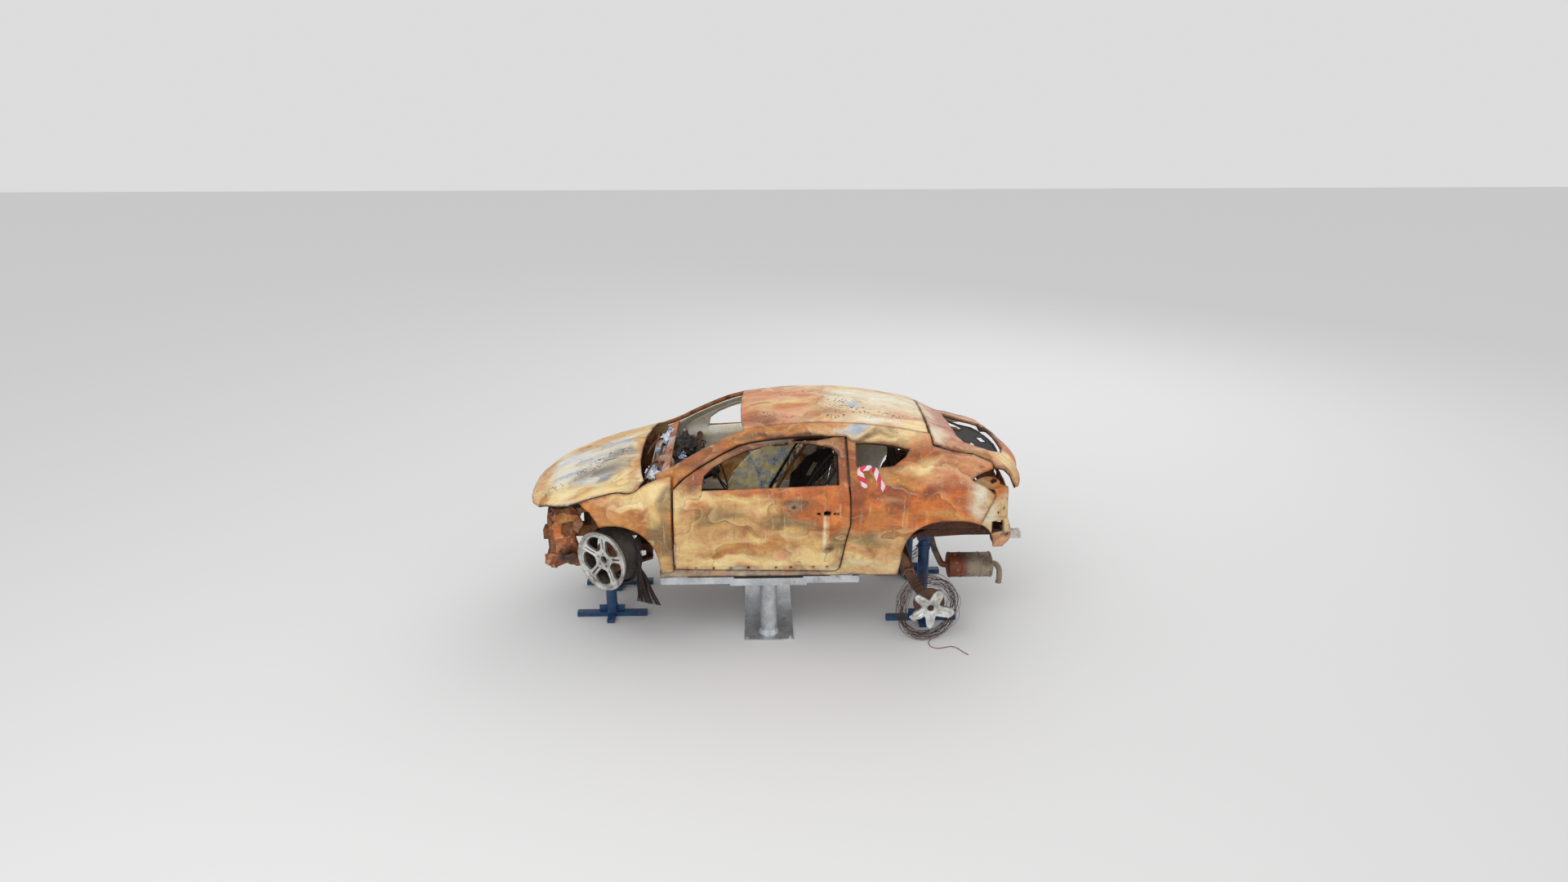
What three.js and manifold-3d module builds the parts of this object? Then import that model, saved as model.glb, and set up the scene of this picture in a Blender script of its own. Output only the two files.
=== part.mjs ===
// A burnt-out three-door coupe, stripped of glass, lamps, bumpers and tyres, held up on a twin-post
// floor lift and four trestles. Millimetres. The nose points to -X, the left side to -Y, up is +Z.
import * as THREE from "three";
import { mergeVertices } from "three/addons/utils/BufferGeometryUtils.js";
import Module from "manifold-3d";

const wasm = await Module();
wasm.setup();

// Driving dimensions. Heights in the car are measured from its road line, where the tyres would stand.
const LIFT = 460; // road line above the workshop floor
const CENTRE_X = 35; // the car's middle lies this far behind the origin, which is over the lift's plate
const FLOOR = -LIFT;
const AXLE_FRONT = -1320;
const AXLE_REAR = 1320;
const FRONT_ARCH = [-1345, 300, 354]; // x and z of its centre, and radius
const REAR_ARCH = [1320, 290, 380];
const REAR_ARCH_SQUARENESS = 0.8; // 1 for a round arch
const HUB_HEIGHT = 335;
const STEER = -36; // degrees the front wheels are turned to the right
const TOUCH = 0.3; // gap between pieces that touch
const DOOR_GAP = 8;
const SKIN = 12; // thickness of a single-skin panel with its folded edge
const FRAME_WALL = 46; // thickness of the body side's box sections
const DOOR_WALL = 105;
const SILL_BOTTOM = 165;
const BELT_BAND = 62; // width of the roof rail's top face, from its outer edge to the roof ditch
const RAIL_FACE = 42; // height of the roof rail's side face above the door

// The outer shape, one section to a row: half-widths y and heights z of the lines along the body.
// x, sill z, sill y, waist z, waist y, shoulder z, shoulder y, belt z, belt y, rail z, rail y, crown z
const SECTIONS = [
  [-2090, 585, 250, 600, 290, 612, 310, 624, 318, 640, 300, 664],
  [-2000, 560, 500, 580, 535, 600, 545, 620, 545, 652, 515, 728],
  [-1900, 470, 640, 540, 670, 590, 668, 640, 660, 692, 625, 782],
  [-1700, 330, 780, 500, 835, 610, 828, 705, 785, 766, 716, 850],
  [-1500, 250, 835, 520, 885, 680, 872, 785, 812, 834, 738, 908],
  [-1320, 240, 852, 540, 896, 710, 880, 825, 818, 882, 738, 950],
  [-1100, 230, 850, 550, 888, 735, 872, 872, 810, 945, 722, 992],
  [-960, 200, 832, 560, 878, 745, 862, 895, 800, 992, 706, 1022],
  [-862, 165, 815, 570, 872, 745, 858, 904, 802, 1036, 692, 1062],
  [-700, 165, 812, 575, 868, 745, 855, 908, 804, 1122, 664, 1142],
  [-500, 165, 812, 580, 866, 750, 855, 914, 808, 1220, 620, 1245],
  [-330, 165, 812, 585, 866, 755, 856, 919, 811, 1280, 584, 1318],
  [-150, 165, 812, 590, 868, 760, 858, 925, 814, 1309, 567, 1358],
  [50, 165, 812, 595, 870, 765, 860, 933, 816, 1326, 560, 1385],
  [250, 165, 812, 600, 873, 775, 864, 945, 816, 1333, 560, 1397],
  [450, 165, 814, 605, 880, 790, 870, 962, 812, 1329, 560, 1397],
  [650, 165, 818, 615, 890, 815, 876, 1005, 798, 1313, 557, 1384],
  [850, 165, 824, 630, 899, 850, 878, 1062, 770, 1286, 551, 1358],
  [1020, 165, 830, 645, 905, 885, 872, 1115, 732, 1259, 544, 1326],
  [1180, 200, 834, 655, 909, 905, 868, 1160, 684, 1230, 535, 1290],
  [1320, 240, 834, 660, 910, 905, 866, 1152, 664, 1200, 522, 1248],
  [1480, 290, 822, 655, 898, 895, 856, 1122, 670, 1156, 510, 1196],
  [1640, 330, 790, 640, 868, 870, 832, 1078, 684, 1106, 498, 1140],
  [1760, 360, 745, 620, 826, 830, 796, 1018, 690, 1056, 480, 1090],
  [1860, 390, 690, 590, 765, 760, 745, 935, 665, 985, 448, 1030],
  [1940, 420, 610, 570, 690, 710, 680, 860, 615, 912, 412, 968],
  [1992, 450, 540, 560, 610, 660, 605, 780, 560, 826, 385, 890],
  [2016, 470, 490, 560, 550, 620, 548, 700, 515, 728, 365, 780],
];

// Value of one column of SECTIONS at x, on a smooth curve through the rows.
function column(index, x) {
  const rows = SECTIONS;
  const last = rows.length - 1;
  const at = Math.min(Math.max(x, rows[0][0]), rows[last][0]);
  let i = 0;
  while (i < last - 1 && rows[i + 1][0] < at) i += 1;
  const slope = (k) => {
    const a = rows[Math.max(k - 1, 0)];
    const b = rows[Math.min(k + 1, last)];
    return (b[index] - a[index]) / (b[0] - a[0]);
  };
  const width = rows[i + 1][0] - rows[i][0];
  const t = (at - rows[i][0]) / width;
  const rise = rows[i + 1][index] - rows[i][index];
  const m0 = slope(i) * width;
  const m1 = slope(i + 1) * width;
  return rows[i][index] + t * m0 + t * t * (3 * rise - 2 * m0 - m1) + t * t * t * (m0 + m1 - 2 * rise);
}
const railZ = (x) => column(9, x);
const railY = (x) => column(10, x);
const beltZ = (x) => column(7, x);

// A section as fine steps of [y, z, u]. The girth u is the height up to the rail and, past it,
// the rail's height plus the distance inboard of the rail.
const sectionCache = new Map();
const MID_ROOF = 0.55;
const MID_RISE = 0.74;
const SPAN_STEPS = 6;
function section(x) {
  const key = Math.round(x * 100);
  if (sectionCache.has(key)) return sectionCache.get(key);
  const c = (k) => column(k, x);
  const knots = [];
  for (let k = 1; k < 11; k += 2) knots.push([c(k + 1), c(k)]);
  knots.push([c(10) * MID_ROOF, c(9) + (c(11) - c(9)) * MID_RISE]);
  knots.push([0, c(11)]);
  knots.push([-c(10) * MID_ROOF, c(9) + (c(11) - c(9)) * MID_RISE]);
  const out = [];
  for (let i = 0; i < knots.length - 2; i += 1) {
    const p0 = knots[Math.max(i - 1, 0)];
    const p1 = knots[i];
    const p2 = knots[i + 1];
    const p3 = knots[i + 2];
    const bend = i > 0 ? 0.5 : 0.4;
    const length = Math.hypot(p2[0] - p1[0], p2[1] - p1[1]);
    const before = Math.max(Math.hypot(p1[0] - p0[0], p1[1] - p0[1]), 1);
    const after = Math.hypot(p3[0] - p2[0], p3[1] - p2[1]);
    for (let s = i ? 1 : 0; s <= SPAN_STEPS; s += 1) {
      const t = s / SPAN_STEPS;
      const point = [0, 1].map((a) => {
        const m0 = bend * length * ((p2[a] - p1[a]) / length + (p1[a] - p0[a]) / before);
        const m1 = 0.5 * length * ((p3[a] - p2[a]) / after + (p2[a] - p1[a]) / length);
        const rise = p2[a] - p1[a];
        return p1[a] + t * m0 + t * t * (3 * rise - 2 * m0 - m1) + t * t * t * (m0 + m1 - 2 * rise);
      });
      const pastRail = i >= 4;
      const girth = pastRail ? c(9) + (c(10) - point[0]) : Math.min(point[1], c(9));
      out.push([point[0], point[1], girth]);
    }
  }
  for (let i = 1; i < out.length; i += 1) out[i][2] = Math.max(out[i][2], out[i - 1][2] + 0.01);
  sectionCache.set(key, out);
  return out;
}

const blend = (value, low, high) => {
  const t = Math.min(Math.max((value - low) / (high - low), 0), 1);
  return t * t * (3 - 2 * t);
};

// The heat let the right rear of the body sink.
const SAG = 72;
function sag(x, y, z) {
  const along = blend(x, 1080, 1460) * (1 - 0.5 * blend(x, 1600, 1880));
  return SAG * along * blend(y, -560, 560) * blend(z, 800, 960);
}

// Point of the outer skin at station x and girth u, on the left (side -1) or the right (side 1).
function skinPoint(x, u, side) {
  const rows = section(x);
  let i = 0;
  while (i < rows.length - 2 && rows[i + 1][2] < u) i += 1;
  const t = (u - rows[i][2]) / (rows[i + 1][2] - rows[i][2]);
  const y = side * (rows[i][0] + t * (rows[i + 1][0] - rows[i][0]));
  const z = rows[i][1] + t * (rows[i + 1][1] - rows[i][1]);
  return new THREE.Vector3(x, y, z - sag(x, y, z));
}
const NORMAL_REACH = 12;
function skinNormal(x, u, side) {
  const low = SECTIONS[0][0] + NORMAL_REACH;
  const high = SECTIONS[SECTIONS.length - 1][0] - NORMAL_REACH;
  const at = Math.min(Math.max(x, low), high);
  const top = railZ(at) + railY(at) - NORMAL_REACH;
  const girth = Math.min(u, top);
  const along = skinPoint(at + NORMAL_REACH, girth, side).sub(skinPoint(at - NORMAL_REACH, girth, side));
  const up = skinPoint(at, girth + NORMAL_REACH, side).sub(skinPoint(at, girth - NORMAL_REACH, side));
  const normal = along.cross(up).normalize();
  return side < 0 ? normal : normal.negate();
}
// Point at a depth under the skin.
function under(x, u, side, depth) {
  return skinPoint(x, u, side).addScaledVector(skinNormal(x, u, side), -depth);
}
// The same for a panel that spans the car: w is the distance from the centre line, along the section.
function underAcross(x, w, depth) {
  const side = w < 0 ? -1 : 1;
  const centre = railZ(x) + railY(x) - Math.abs(w);
  if (Math.abs(w) > NORMAL_REACH * 2) return under(x, centre, side, depth);
  return new THREE.Vector3(x, w, skinPoint(x, centre, side).z - depth);
}
const acrossOf = (x, u, side) => [x, side * (railZ(x) + railY(x) - u)];

// Cuts a flat outline with holes into strips between columns and fills them with triangles.
// place(x, u, layer) puts a corner in space, for the outer layer 0 and the inner layer 1.
function panel(outline, holes, stepX, stepU, place) {
  const loops = [outline, ...holes];
  const edges = [];
  const corners = [];
  for (const loop of loops)
    loop.forEach((a, i) => {
      const b = loop[(i + 1) % loop.length];
      corners.push(a[0]);
      if (Math.abs(a[0] - b[0]) > 1e-6) edges.push(a[0] < b[0] ? [a, b] : [b, a]);
    });
  corners.sort((a, b) => a - b);
  const xs = [corners[0]];
  for (const x of corners) {
    const gap = x - xs[xs.length - 1];
    if (gap < 0.01) continue;
    const parts = Math.max(1, Math.round(gap / stepX));
    const from = xs[xs.length - 1];
    for (let k = 1; k <= parts; k += 1) xs.push(from + (gap * k) / parts);
  }
  const strips = [];
  const levels = xs.map(() => []);
  for (let i = 0; i < xs.length - 1; i += 1) {
    const middle = (xs[i] + xs[i + 1]) / 2;
    const heightAt = (e, x) => e[0][1] + ((e[1][1] - e[0][1]) * (x - e[0][0])) / (e[1][0] - e[0][0]);
    const crossed = edges
      .filter((e) => e[0][0] < middle && e[1][0] > middle)
      .sort((a, b) => heightAt(a, middle) - heightAt(b, middle));
    for (let k = 0; k + 1 < crossed.length; k += 2) {
      const ends = [crossed[k], crossed[k + 1]].map((e) => [heightAt(e, xs[i]), heightAt(e, xs[i + 1])]);
      strips.push([i, ends[0], ends[1]]);
      levels[i].push(ends[0][0], ends[1][0]);
      levels[i + 1].push(ends[0][1], ends[1][1]);
    }
  }
  const near = (list, value) => list.some((v) => Math.abs(v - value) < stepU * 0.35);
  levels.forEach((list, i) => {
    const fixed = list.slice();
    const low = Math.min(...fixed);
    const high = Math.max(...fixed);
    for (let u = Math.ceil(low / stepU) * stepU; u < high; u += stepU) if (!near(fixed, u)) list.push(u);
    list.sort((a, b) => a - b);
    levels[i] = list.filter((v, k) => k === 0 || v - list[k - 1] > 0.01);
  });
  const index = new Map();
  const flat = [];
  const vertex = (i, u) => {
    const level = levels[i].find((v) => Math.abs(v - u) < 0.011);
    const key = i + ":" + level.toFixed(3);
    if (!index.has(key)) {
      index.set(key, flat.length);
      flat.push([xs[i], level]);
    }
    return index.get(key);
  };
  const faces = [];
  for (const [i, low, high] of strips) {
    const chain = (col, a, b) => levels[col].filter((v) => v > a - 0.011 && v < b + 0.011);
    const left = chain(i, low[0], high[0]);
    const right = chain(i + 1, low[1], high[1]);
    const share = (list, k, a, b) => (k < list.length ? (b - a < 0.02 ? 1 : (list[k] - a) / (b - a)) : 2);
    let a = 0;
    let b = 0;
    while (a < left.length - 1 || b < right.length - 1) {
      if (share(left, a + 1, low[0], high[0]) <= share(right, b + 1, low[1], high[1])) {
        faces.push([vertex(i, left[a]), vertex(i + 1, right[b]), vertex(i, left[a + 1])]);
        a += 1;
      } else {
        faces.push([vertex(i, left[a]), vertex(i + 1, right[b]), vertex(i + 1, right[b + 1])]);
        b += 1;
      }
    }
  }
  const points = [0, 1].flatMap((layer) => flat.map(([x, u]) => place(x, u, layer)));
  const inner = (k) => k + flat.length;
  const tris = [];
  const directed = new Set(faces.flatMap(([a, b, c]) => [a + ">" + b, b + ">" + c, c + ">" + a]));
  for (const [a, b, c] of faces) {
    tris.push([a, b, c], [inner(a), inner(c), inner(b)]);
    for (const [p, q] of [[a, b], [b, c], [c, a]])
      if (!directed.has(q + ">" + p)) tris.push([p, inner(q), q], [p, inner(p), inner(q)]);
  }
  return closed(points, tris);
}

// A geometry from points and triangles, with its faces turned outwards.
function closed(points, tris) {
  const position = new Float32Array(points.flatMap((p) => [p.x, p.y, p.z]));
  let volume = 0;
  for (const [a, b, c] of tris) volume += points[a].dot(points[b].clone().cross(points[c]));
  const order = volume < 0 ? tris.map(([a, b, c]) => [a, c, b]) : tris;
  const geometry = new THREE.BufferGeometry();
  geometry.setAttribute("position", new THREE.BufferAttribute(position, 3));
  geometry.setIndex(order.flat());
  return geometry;
}

// Booleans through manifold-3d.
function solid(geometry) {
  const bare = geometry.clone();
  bare.deleteAttribute("normal");
  bare.deleteAttribute("uv");
  const merged = mergeVertices(bare, 1e-3);
  const mesh = new wasm.Mesh({
    numProp: 3,
    vertProperties: new Float32Array(merged.attributes.position.array),
    triVerts: new Uint32Array(merged.index.array),
  });
  return new wasm.Manifold(mesh);
}
function geometryOf(manifold) {
  const mesh = manifold.getMesh();
  const geometry = new THREE.BufferGeometry();
  geometry.setAttribute("position", new THREE.BufferAttribute(new Float32Array(mesh.vertProperties), 3));
  geometry.setIndex(Array.from(mesh.triVerts));
  return geometry;
}
const join = (...list) => geometryOf(list.map(solid).reduce((a, b) => a.add(b)));
const cut = (base, ...tools) => geometryOf(tools.map(solid).reduce((a, b) => a.subtract(b), solid(base)));

// Plain shapes, placed.
function box(x0, x1, y0, y1, z0, z1) {
  const g = new THREE.BoxGeometry(x1 - x0, y1 - y0, z1 - z0);
  return g.translate((x0 + x1) / 2, (y0 + y1) / 2, (z0 + z1) / 2);
}
function rod(from, to, radius, sides = 12, endRadius = radius) {
  const a = new THREE.Vector3(...from);
  const b = new THREE.Vector3(...to);
  const g = new THREE.CylinderGeometry(endRadius, radius, a.distanceTo(b), sides);
  const turn = new THREE.Quaternion().setFromUnitVectors(new THREE.Vector3(0, 1, 0), b.clone().sub(a).normalize());
  return g.applyQuaternion(turn).translate((a.x + b.x) / 2, (a.y + b.y) / 2, (a.z + b.z) / 2);
}
// A tube of round section along a smooth curve.
function tube(points, radius, sides = 8, steps = 12) {
  const circle = new THREE.Shape();
  circle.absarc(0, 0, radius, 0, Math.PI * 2);
  const path = new THREE.CatmullRomCurve3(points.map((p) => new THREE.Vector3(...p)));
  return new THREE.ExtrudeGeometry(circle, { steps, curveSegments: sides / 2, extrudePath: path });
}
// An outline in the x-z plane, extruded over y0 to y1.
function plateXZ(points, y0, y1) {
  const shape = new THREE.Shape(points.map(([x, z]) => new THREE.Vector2(x, z)));
  const g = new THREE.ExtrudeGeometry(shape, { depth: y1 - y0, bevelEnabled: false, curveSegments: 6 });
  return g.rotateX(Math.PI / 2).translate(0, y1, 0);
}
// An outline in the x-y plane, extruded over z0 to z1.
function plateXY(points, z0, z1) {
  const shape = new THREE.Shape(points.map(([x, y]) => new THREE.Vector2(x, y)));
  return new THREE.ExtrudeGeometry(shape, { depth: z1 - z0, bevelEnabled: false }).translate(0, 0, z0);
}
// An outline in the y-z plane, extruded over x0 to x1.
function plateYZ(points, x0, x1) {
  const shape = new THREE.Shape(points.map(([y, z]) => new THREE.Vector2(y, z)));
  const g = new THREE.ExtrudeGeometry(shape, { depth: x1 - x0, bevelEnabled: false });
  return g.rotateZ(Math.PI / 2).rotateY(Math.PI / 2).translate(x0, 0, 0);
}
// The thick line along a path in a plane: its points there, and back at a distance.
function band(points, thickness) {
  const side = points.map((p, i) => {
    const a = points[Math.max(i - 1, 0)];
    const b = points[Math.min(i + 1, points.length - 1)];
    const length = Math.hypot(b[0] - a[0], b[1] - a[1]);
    return [p[0] - ((b[1] - a[1]) / length) * thickness, p[1] + ((b[0] - a[0]) / length) * thickness];
  });
  return [...points, ...side.reverse()];
}
const mirrorY = (geometry) => {
  const g = geometry.clone().scale(1, -1, 1);
  const order = Array.from(g.index ? g.index.array : [...Array(g.attributes.position.count).keys()]);
  for (let i = 0; i < order.length; i += 3) [order[i + 1], order[i + 2]] = [order[i + 2], order[i + 1]];
  g.setIndex(order);
  return g;
};

// Finishes, by what a piece is made of now.
const finish = (color, roughness, metalness) => new THREE.MeshStandardMaterial({ color, roughness, metalness });
const FINISH = {
  burnt: finish(0xc98a4e, 0.8, 0.35),
  cream: finish(0xd9b47a, 0.75, 0.3),
  rust: finish(0x8a4a2a, 0.9, 0.3),
  soot: finish(0x2e2622, 0.95, 0.1),
  alloy: finish(0xc9cbc6, 0.45, 0.85),
  trestle: finish(0x1d4569, 0.55, 0.4),
  lift: finish(0xa9aeb0, 0.4, 0.8),
  iron: finish(0x6d5a4c, 0.85, 0.5),
  ash: finish(0xc9bd92, 0.9, 0.1),
  tape: finish(0xd24b62, 0.5, 0),
  rubber: finish(0x24211f, 0.9, 0),
};

const car = new THREE.Group();
function add(name, geometry, material, parent = car) {
  const mesh = new THREE.Mesh(geometry, material);
  mesh.name = name;
  parent.add(mesh);
  return mesh;
}
const SIDES = [["left", -1], ["right", 1]];

// Outlines of the side panels, as [x, u].
const arc = (cx, cz, radius, from, to, steps, power = 1) =>
  Array.from({ length: steps + 1 }, (_, i) => {
    const angle = ((from + ((to - from) * i) / steps) * Math.PI) / 180;
    const across = Math.sign(Math.cos(angle)) * Math.abs(Math.cos(angle)) ** power;
    return [cx + radius * across, cz + radius * Math.sin(angle) ** power];
  });
const rearArch = (outset, from, to, steps) =>
  arc(REAR_ARCH[0], REAR_ARCH[1], REAR_ARCH[2] + outset, from, to, steps, REAR_ARCH_SQUARENESS);
const alongRail = (from, to, steps, offset) =>
  Array.from({ length: steps + 1 }, (_, i) => {
    const x = from + ((to - from) * i) / steps;
    return [x, railZ(x) + (typeof offset === "function" ? offset(x) : offset)];
  });

// The bonnet's edge above the wing: on the left the heat has bent it down.
const wingTop = (x, side) => {
  const dip = side < 0 ? 30 * Math.exp(-(((x + 1190) / 85) ** 2)) : 12 * Math.exp(-(((x + 1250) / 120) ** 2));
  return railZ(x) - 6 - dip;
};
const DOOR_FRONT = -862;
const DOOR_TOP = [[-800, 968], [-762, 1000], [-680, 1052], [-580, 1108], [-470, 1166], [-357, 1212]];
const frameTop = (x) => railZ(x) - RAIL_FACE - DOOR_GAP - 26 * blend(x, -330, -120) * (1 - blend(x, 240, 460));
const DOOR_OUTLINE = [
  [DOOR_FRONT, 236],
  [410, 206],
  [446, 232],
  [486, 470],
  [522, 640],
  [520, 850],
  [504, 985],
  ...Array.from({ length: 6 }, (_, i) => 486 - i * 150).map((x) => [x, frameTop(x)]),
  ...DOOR_TOP.slice().reverse(),
  [DOOR_FRONT, 914],
];
const DOOR_WINDOW = [
  [-640, 908], [436, 950], [430, 1160], [384, 1212], [240, 1236], [96, 1246], [-123, 1226],
  [-290, 1192], [-430, 1138], [-545, 1080], [-622, 1012],
];
// The opening in the body side that the door fills, a gap wider all round.
const DOOR_HOLE = [
  [DOOR_FRONT - DOOR_GAP, 228],
  [414, 197],
  [455, 228],
  [495, 470],
  [531, 638],
  [529, 852],
  [520, 988],
  ...Array.from({ length: 7 }, (_, i) => 505 - i * 142.8).map((x) => [x, railZ(x) - RAIL_FACE]),
  [-476, 1176], [-586, 1118], [-686, 1062], [-768, 1009], [-806, 978], [DOOR_FRONT - DOOR_GAP, 920],
];
const QUARTER_WINDOW = [
  [575, 1076], [745, 1068], [868, 1082], [962, 1138], [1000, 1184], [925, 1206], [800, 1228], [640, 1244], [572, 1238],
];
const ROOF_REAR = 1188;
const BODY_SIDE = [
  [-985, SILL_BOTTOM],
  [918, SILL_BOTTOM],
  [934, 300],
  ...rearArch(0, 176, 58, 10),
  [1672, 852],
  [1600, 916],
  [1482, 978],
  [1531, 1010],
  [1600, 1028],
  [1672, 1042],
  [1646, 1078],
  [1514, 1127],
  [1328, 1160],
  [ROOF_REAR, 1196],
  ...alongRail(ROOF_REAR - 2, -1015, 14, BELT_BAND),
  [-1015, 978],
  [-950, 1004],
  [-950, 226],
  [-985, 205],
];
// Part of the door pillar and pillar foot lies under the wing.
const PILLAR_SET_BACK = 34;
const setBack = (x, u) =>
  PILLAR_SET_BACK * (1 - blend(x, DOOR_FRONT - 10, DOOR_FRONT + 8)) * blend(u, 206, 222) * (1 - blend(u, railZ(x) + 20, railZ(x) + 50));

function bodySide(side) {
  const place = (x, u, layer) => under(x, u, side, setBack(x, u) + layer * FRAME_WALL);
  return panel(BODY_SIDE, [DOOR_HOLE, QUARTER_WINDOW], 150, 170, place);
}
function door(side) {
  const place = (x, u, layer) => {
    const wall = DOOR_WALL - (DOOR_WALL - 38) * blend(u, beltZ(x) - 24, beltZ(x) + 6);
    const chamfer = layer * 20 * blend(x, 380, 470);
    return under(x - chamfer, u, side, layer * wall);
  };
  return panel(DOOR_OUTLINE, [DOOR_WINDOW], 150, 160, place);
}
const FENDER_REAR = DOOR_FRONT - 18;
function fender(side) {
  const top = Array.from({ length: 9 }, (_, i) => FENDER_REAR - 12 - i * 90).map((x) => [x, wingTop(x, side)]);
  const outline = [
    [FENDER_REAR, 214],
    [FENDER_REAR, 1006],
    ...top,
    [-1520, 748],
    [-1472, 694],
    ...arc(...FRONT_ARCH, 106, 6, 9),
    [-976, 214],
  ];
  return panel(outline, [], 120, 150, (x, u, layer) => under(x, u, side, layer * SKIN));
}
// Inner corner of the tail: the lamp's pocket, and the plate that the bumper's corner was fixed to.
function rearCorner(side) {
  const outline = [
    ...rearArch(3, 8, 56, 5),
    [1684, 852],
    [1676, 892],
    [1606, 924],
    [1510, 978],
    [1560, 1000],
    [1640, 1016],
    [1740, 1004],
    [1796, 950],
    [1800, 860],
    [1794, 760],
    [1792, 650],
    [1822, 572],
    [1858, 447],
    [1846, 385],
    [1790, 345],
  ];
  const vent = [[1664, 514], [1776, 512], [1758, 632], [1658, 630]];
  const lampPocket = (x, u) => 84 * blend(u, 890, 925);
  const place = (x, u, layer) => under(x, u, side, 20 + lampPocket(x, u) + layer * SKIN);
  return panel(outline, [vent], 110, 110, place);
}

for (const [name, side] of SIDES) {
  add("body_side_" + name, bodySide(side), FINISH.burnt);
  add("wing_" + name, fender(side), FINISH.cream);
  add("tail_corner_" + name, rearCorner(side), FINISH.cream);
  add("door_" + name, door(side), FINISH.cream);
}

// Panels across the car, as [x, w].
const BONNET_THICK = 26;
const bonnetOutline = [
  ...Array.from({ length: 8 }, (_, i) => -1613 + i * 68).map((x) => acrossOf(x, wingTop(x, -1) + 7, -1)),
  [-1100, -690],
  [-1128, -560],
  [-1162, -300],
  [-1172, 0],
  [-1162, 300],
  [-1128, 560],
  [-1100, 690],
  ...Array.from({ length: 8 }, (_, i) => -1137 - i * 68).map((x) => acrossOf(x, wingTop(x, 1) + 7, 1)),
  [-1710, 716], [-1800, 668], [-1900, 592], [-1985, 512], [-2042, 410], [-2072, 290], [-2088, 140], [-2090, 0],
  [-2088, -140], [-2072, -290], [-2042, -410], [-1985, -512], [-1900, -592], [-1800, -668], [-1710, -716],
];
add("bonnet", panel(bonnetOutline, [], 115, 170, (x, w, layer) => underAcross(x, w, layer * BONNET_THICK)), FINISH.cream);

const ROOF_FRONT = -312;
const roofEdge = (x) => railY(x) - BELT_BAND - 5;
const roofSide = (from, to, side) =>
  Array.from({ length: 9 }, (_, i) => from + ((to - from) * i) / 8).map((x) => [x, side * roofEdge(x)]);
const roofOutline = [
  ...roofSide(ROOF_FRONT, ROOF_REAR - 12, -1),
  [ROOF_REAR - 16, 0],
  ...roofSide(ROOF_REAR - 12, ROOF_FRONT, 1),
  [ROOF_FRONT - 18, 300],
  [ROOF_FRONT - 25, 0],
  [ROOF_FRONT - 18, -300],
];
add("roof_panel", panel(roofOutline, [], 160, 170, (x, w, layer) => underAcross(x, w, layer * 22)), FINISH.burnt);

// The tailgate reaches from the roof round to the tail, with the hole of its window.
const hatchEdge = [
  [1204, 1205], [1328, 1170], [1514, 1137], [1655, 1087], [1692, 1044], [1774, 1020], [1824, 968], [1846, 904], [1862, 866],
];
const hatchSide = (side) => hatchEdge.map(([x, u]) => acrossOf(x, u, side));
const hatchTail = [[1898, 485], [1928, 390], [1952, 250], [1968, 110], [1972, 0]];
const tailgateOutline = [
  ...hatchSide(-1),
  ...hatchTail.slice(0, -1).map(([x, w]) => [x, -w]),
  ...hatchTail.slice().reverse(),
  ...hatchSide(1).reverse(),
  [1190, 0],
];
const tailgateWindow = [
  [1408, -150], [1424, -380], [1466, -462], [1590, -478], [1700, -466], [1794, -398], [1842, -220],
  [1842, 220], [1794, 398], [1700, 466], [1590, 478], [1466, 462], [1424, 380], [1408, 150],
];
const TAILGATE_THICK = 34;
const tailgatePlace = (x, w, layer) => underAcross(x, w, layer * TAILGATE_THICK);
add("tailgate", panel(tailgateOutline, [tailgateWindow], 110, 160, tailgatePlace), FINISH.burnt);

// Floor: toe board, flat floor, heel board and boot floor, with the tunnel down its middle.
const floorLine = [[-930, 560], [-860, 330], [-700, 205], [640, 205], [700, 292]];
const floorSheet = plateXZ(band(floorLine, 10), -690, 690);
const tunnel = plateYZ([[-150, 200], [-120, 320], [120, 320], [150, 200], [140, 200], [112, 310], [-112, 310], [-140, 200]], -720, 688);
const sills = SIDES.map(([, side]) => {
  const sill = box(-830, 880, 640, 699, SILL_BOTTOM + 2, 300);
  return side < 0 ? mirrorY(sill) : sill;
});
add("floor_pan", join(floorSheet, tunnel, ...sills), FINISH.rust);

// Behind the heel board the boot floor lies between the wheelhouses, on two members.
const bootLine = [[702, 294], [762, 380], [1080, 380], [1200, 425], [1800, 425]];
const bootSheet = plateXZ(band(bootLine, 10), -556, 556);
const memberLine = [
  [790, 312], [1040, 330], [1240, 330], [1500, 345], [1838, 345], [1838, 430], [1195, 430], [1078, 386], [790, 386],
];
const members = [plateXZ(memberLine, 400, 470), plateXZ(memberLine, -470, -400)];
add("boot_floor", join(bootSheet, ...members), FINISH.rust);
for (const [name, side] of SIDES) {
  const shell = plateXZ(band(rearArch(14, 6, 172, 14), -8), 560, 722);
  const wall = plateXZ(rearArch(18, 162, 18, 9), 560, 570);
  const house = join(shell, wall);
  add("wheelhouse_" + name, side < 0 ? mirrorY(house) : house, FINISH.rust);
}

// Bulkhead and the trough that the windscreen and wipers stood in.
const bulkhead = plateYZ([[-690, 330], [690, 330], [690, 760], [606, 890], [606, 975], [-606, 975], [-606, 890], [-690, 760]], -954, -942);
const troughLine = [[-1090, 872], [-1080, 830], [-1010, 815], [-985, 900], [-960, 962], [-900, 1000]];
const trough = plateXZ(band(troughLine, 9), -616, 616);
add("bulkhead", join(bulkhead, trough), FINISH.burnt);

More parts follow.
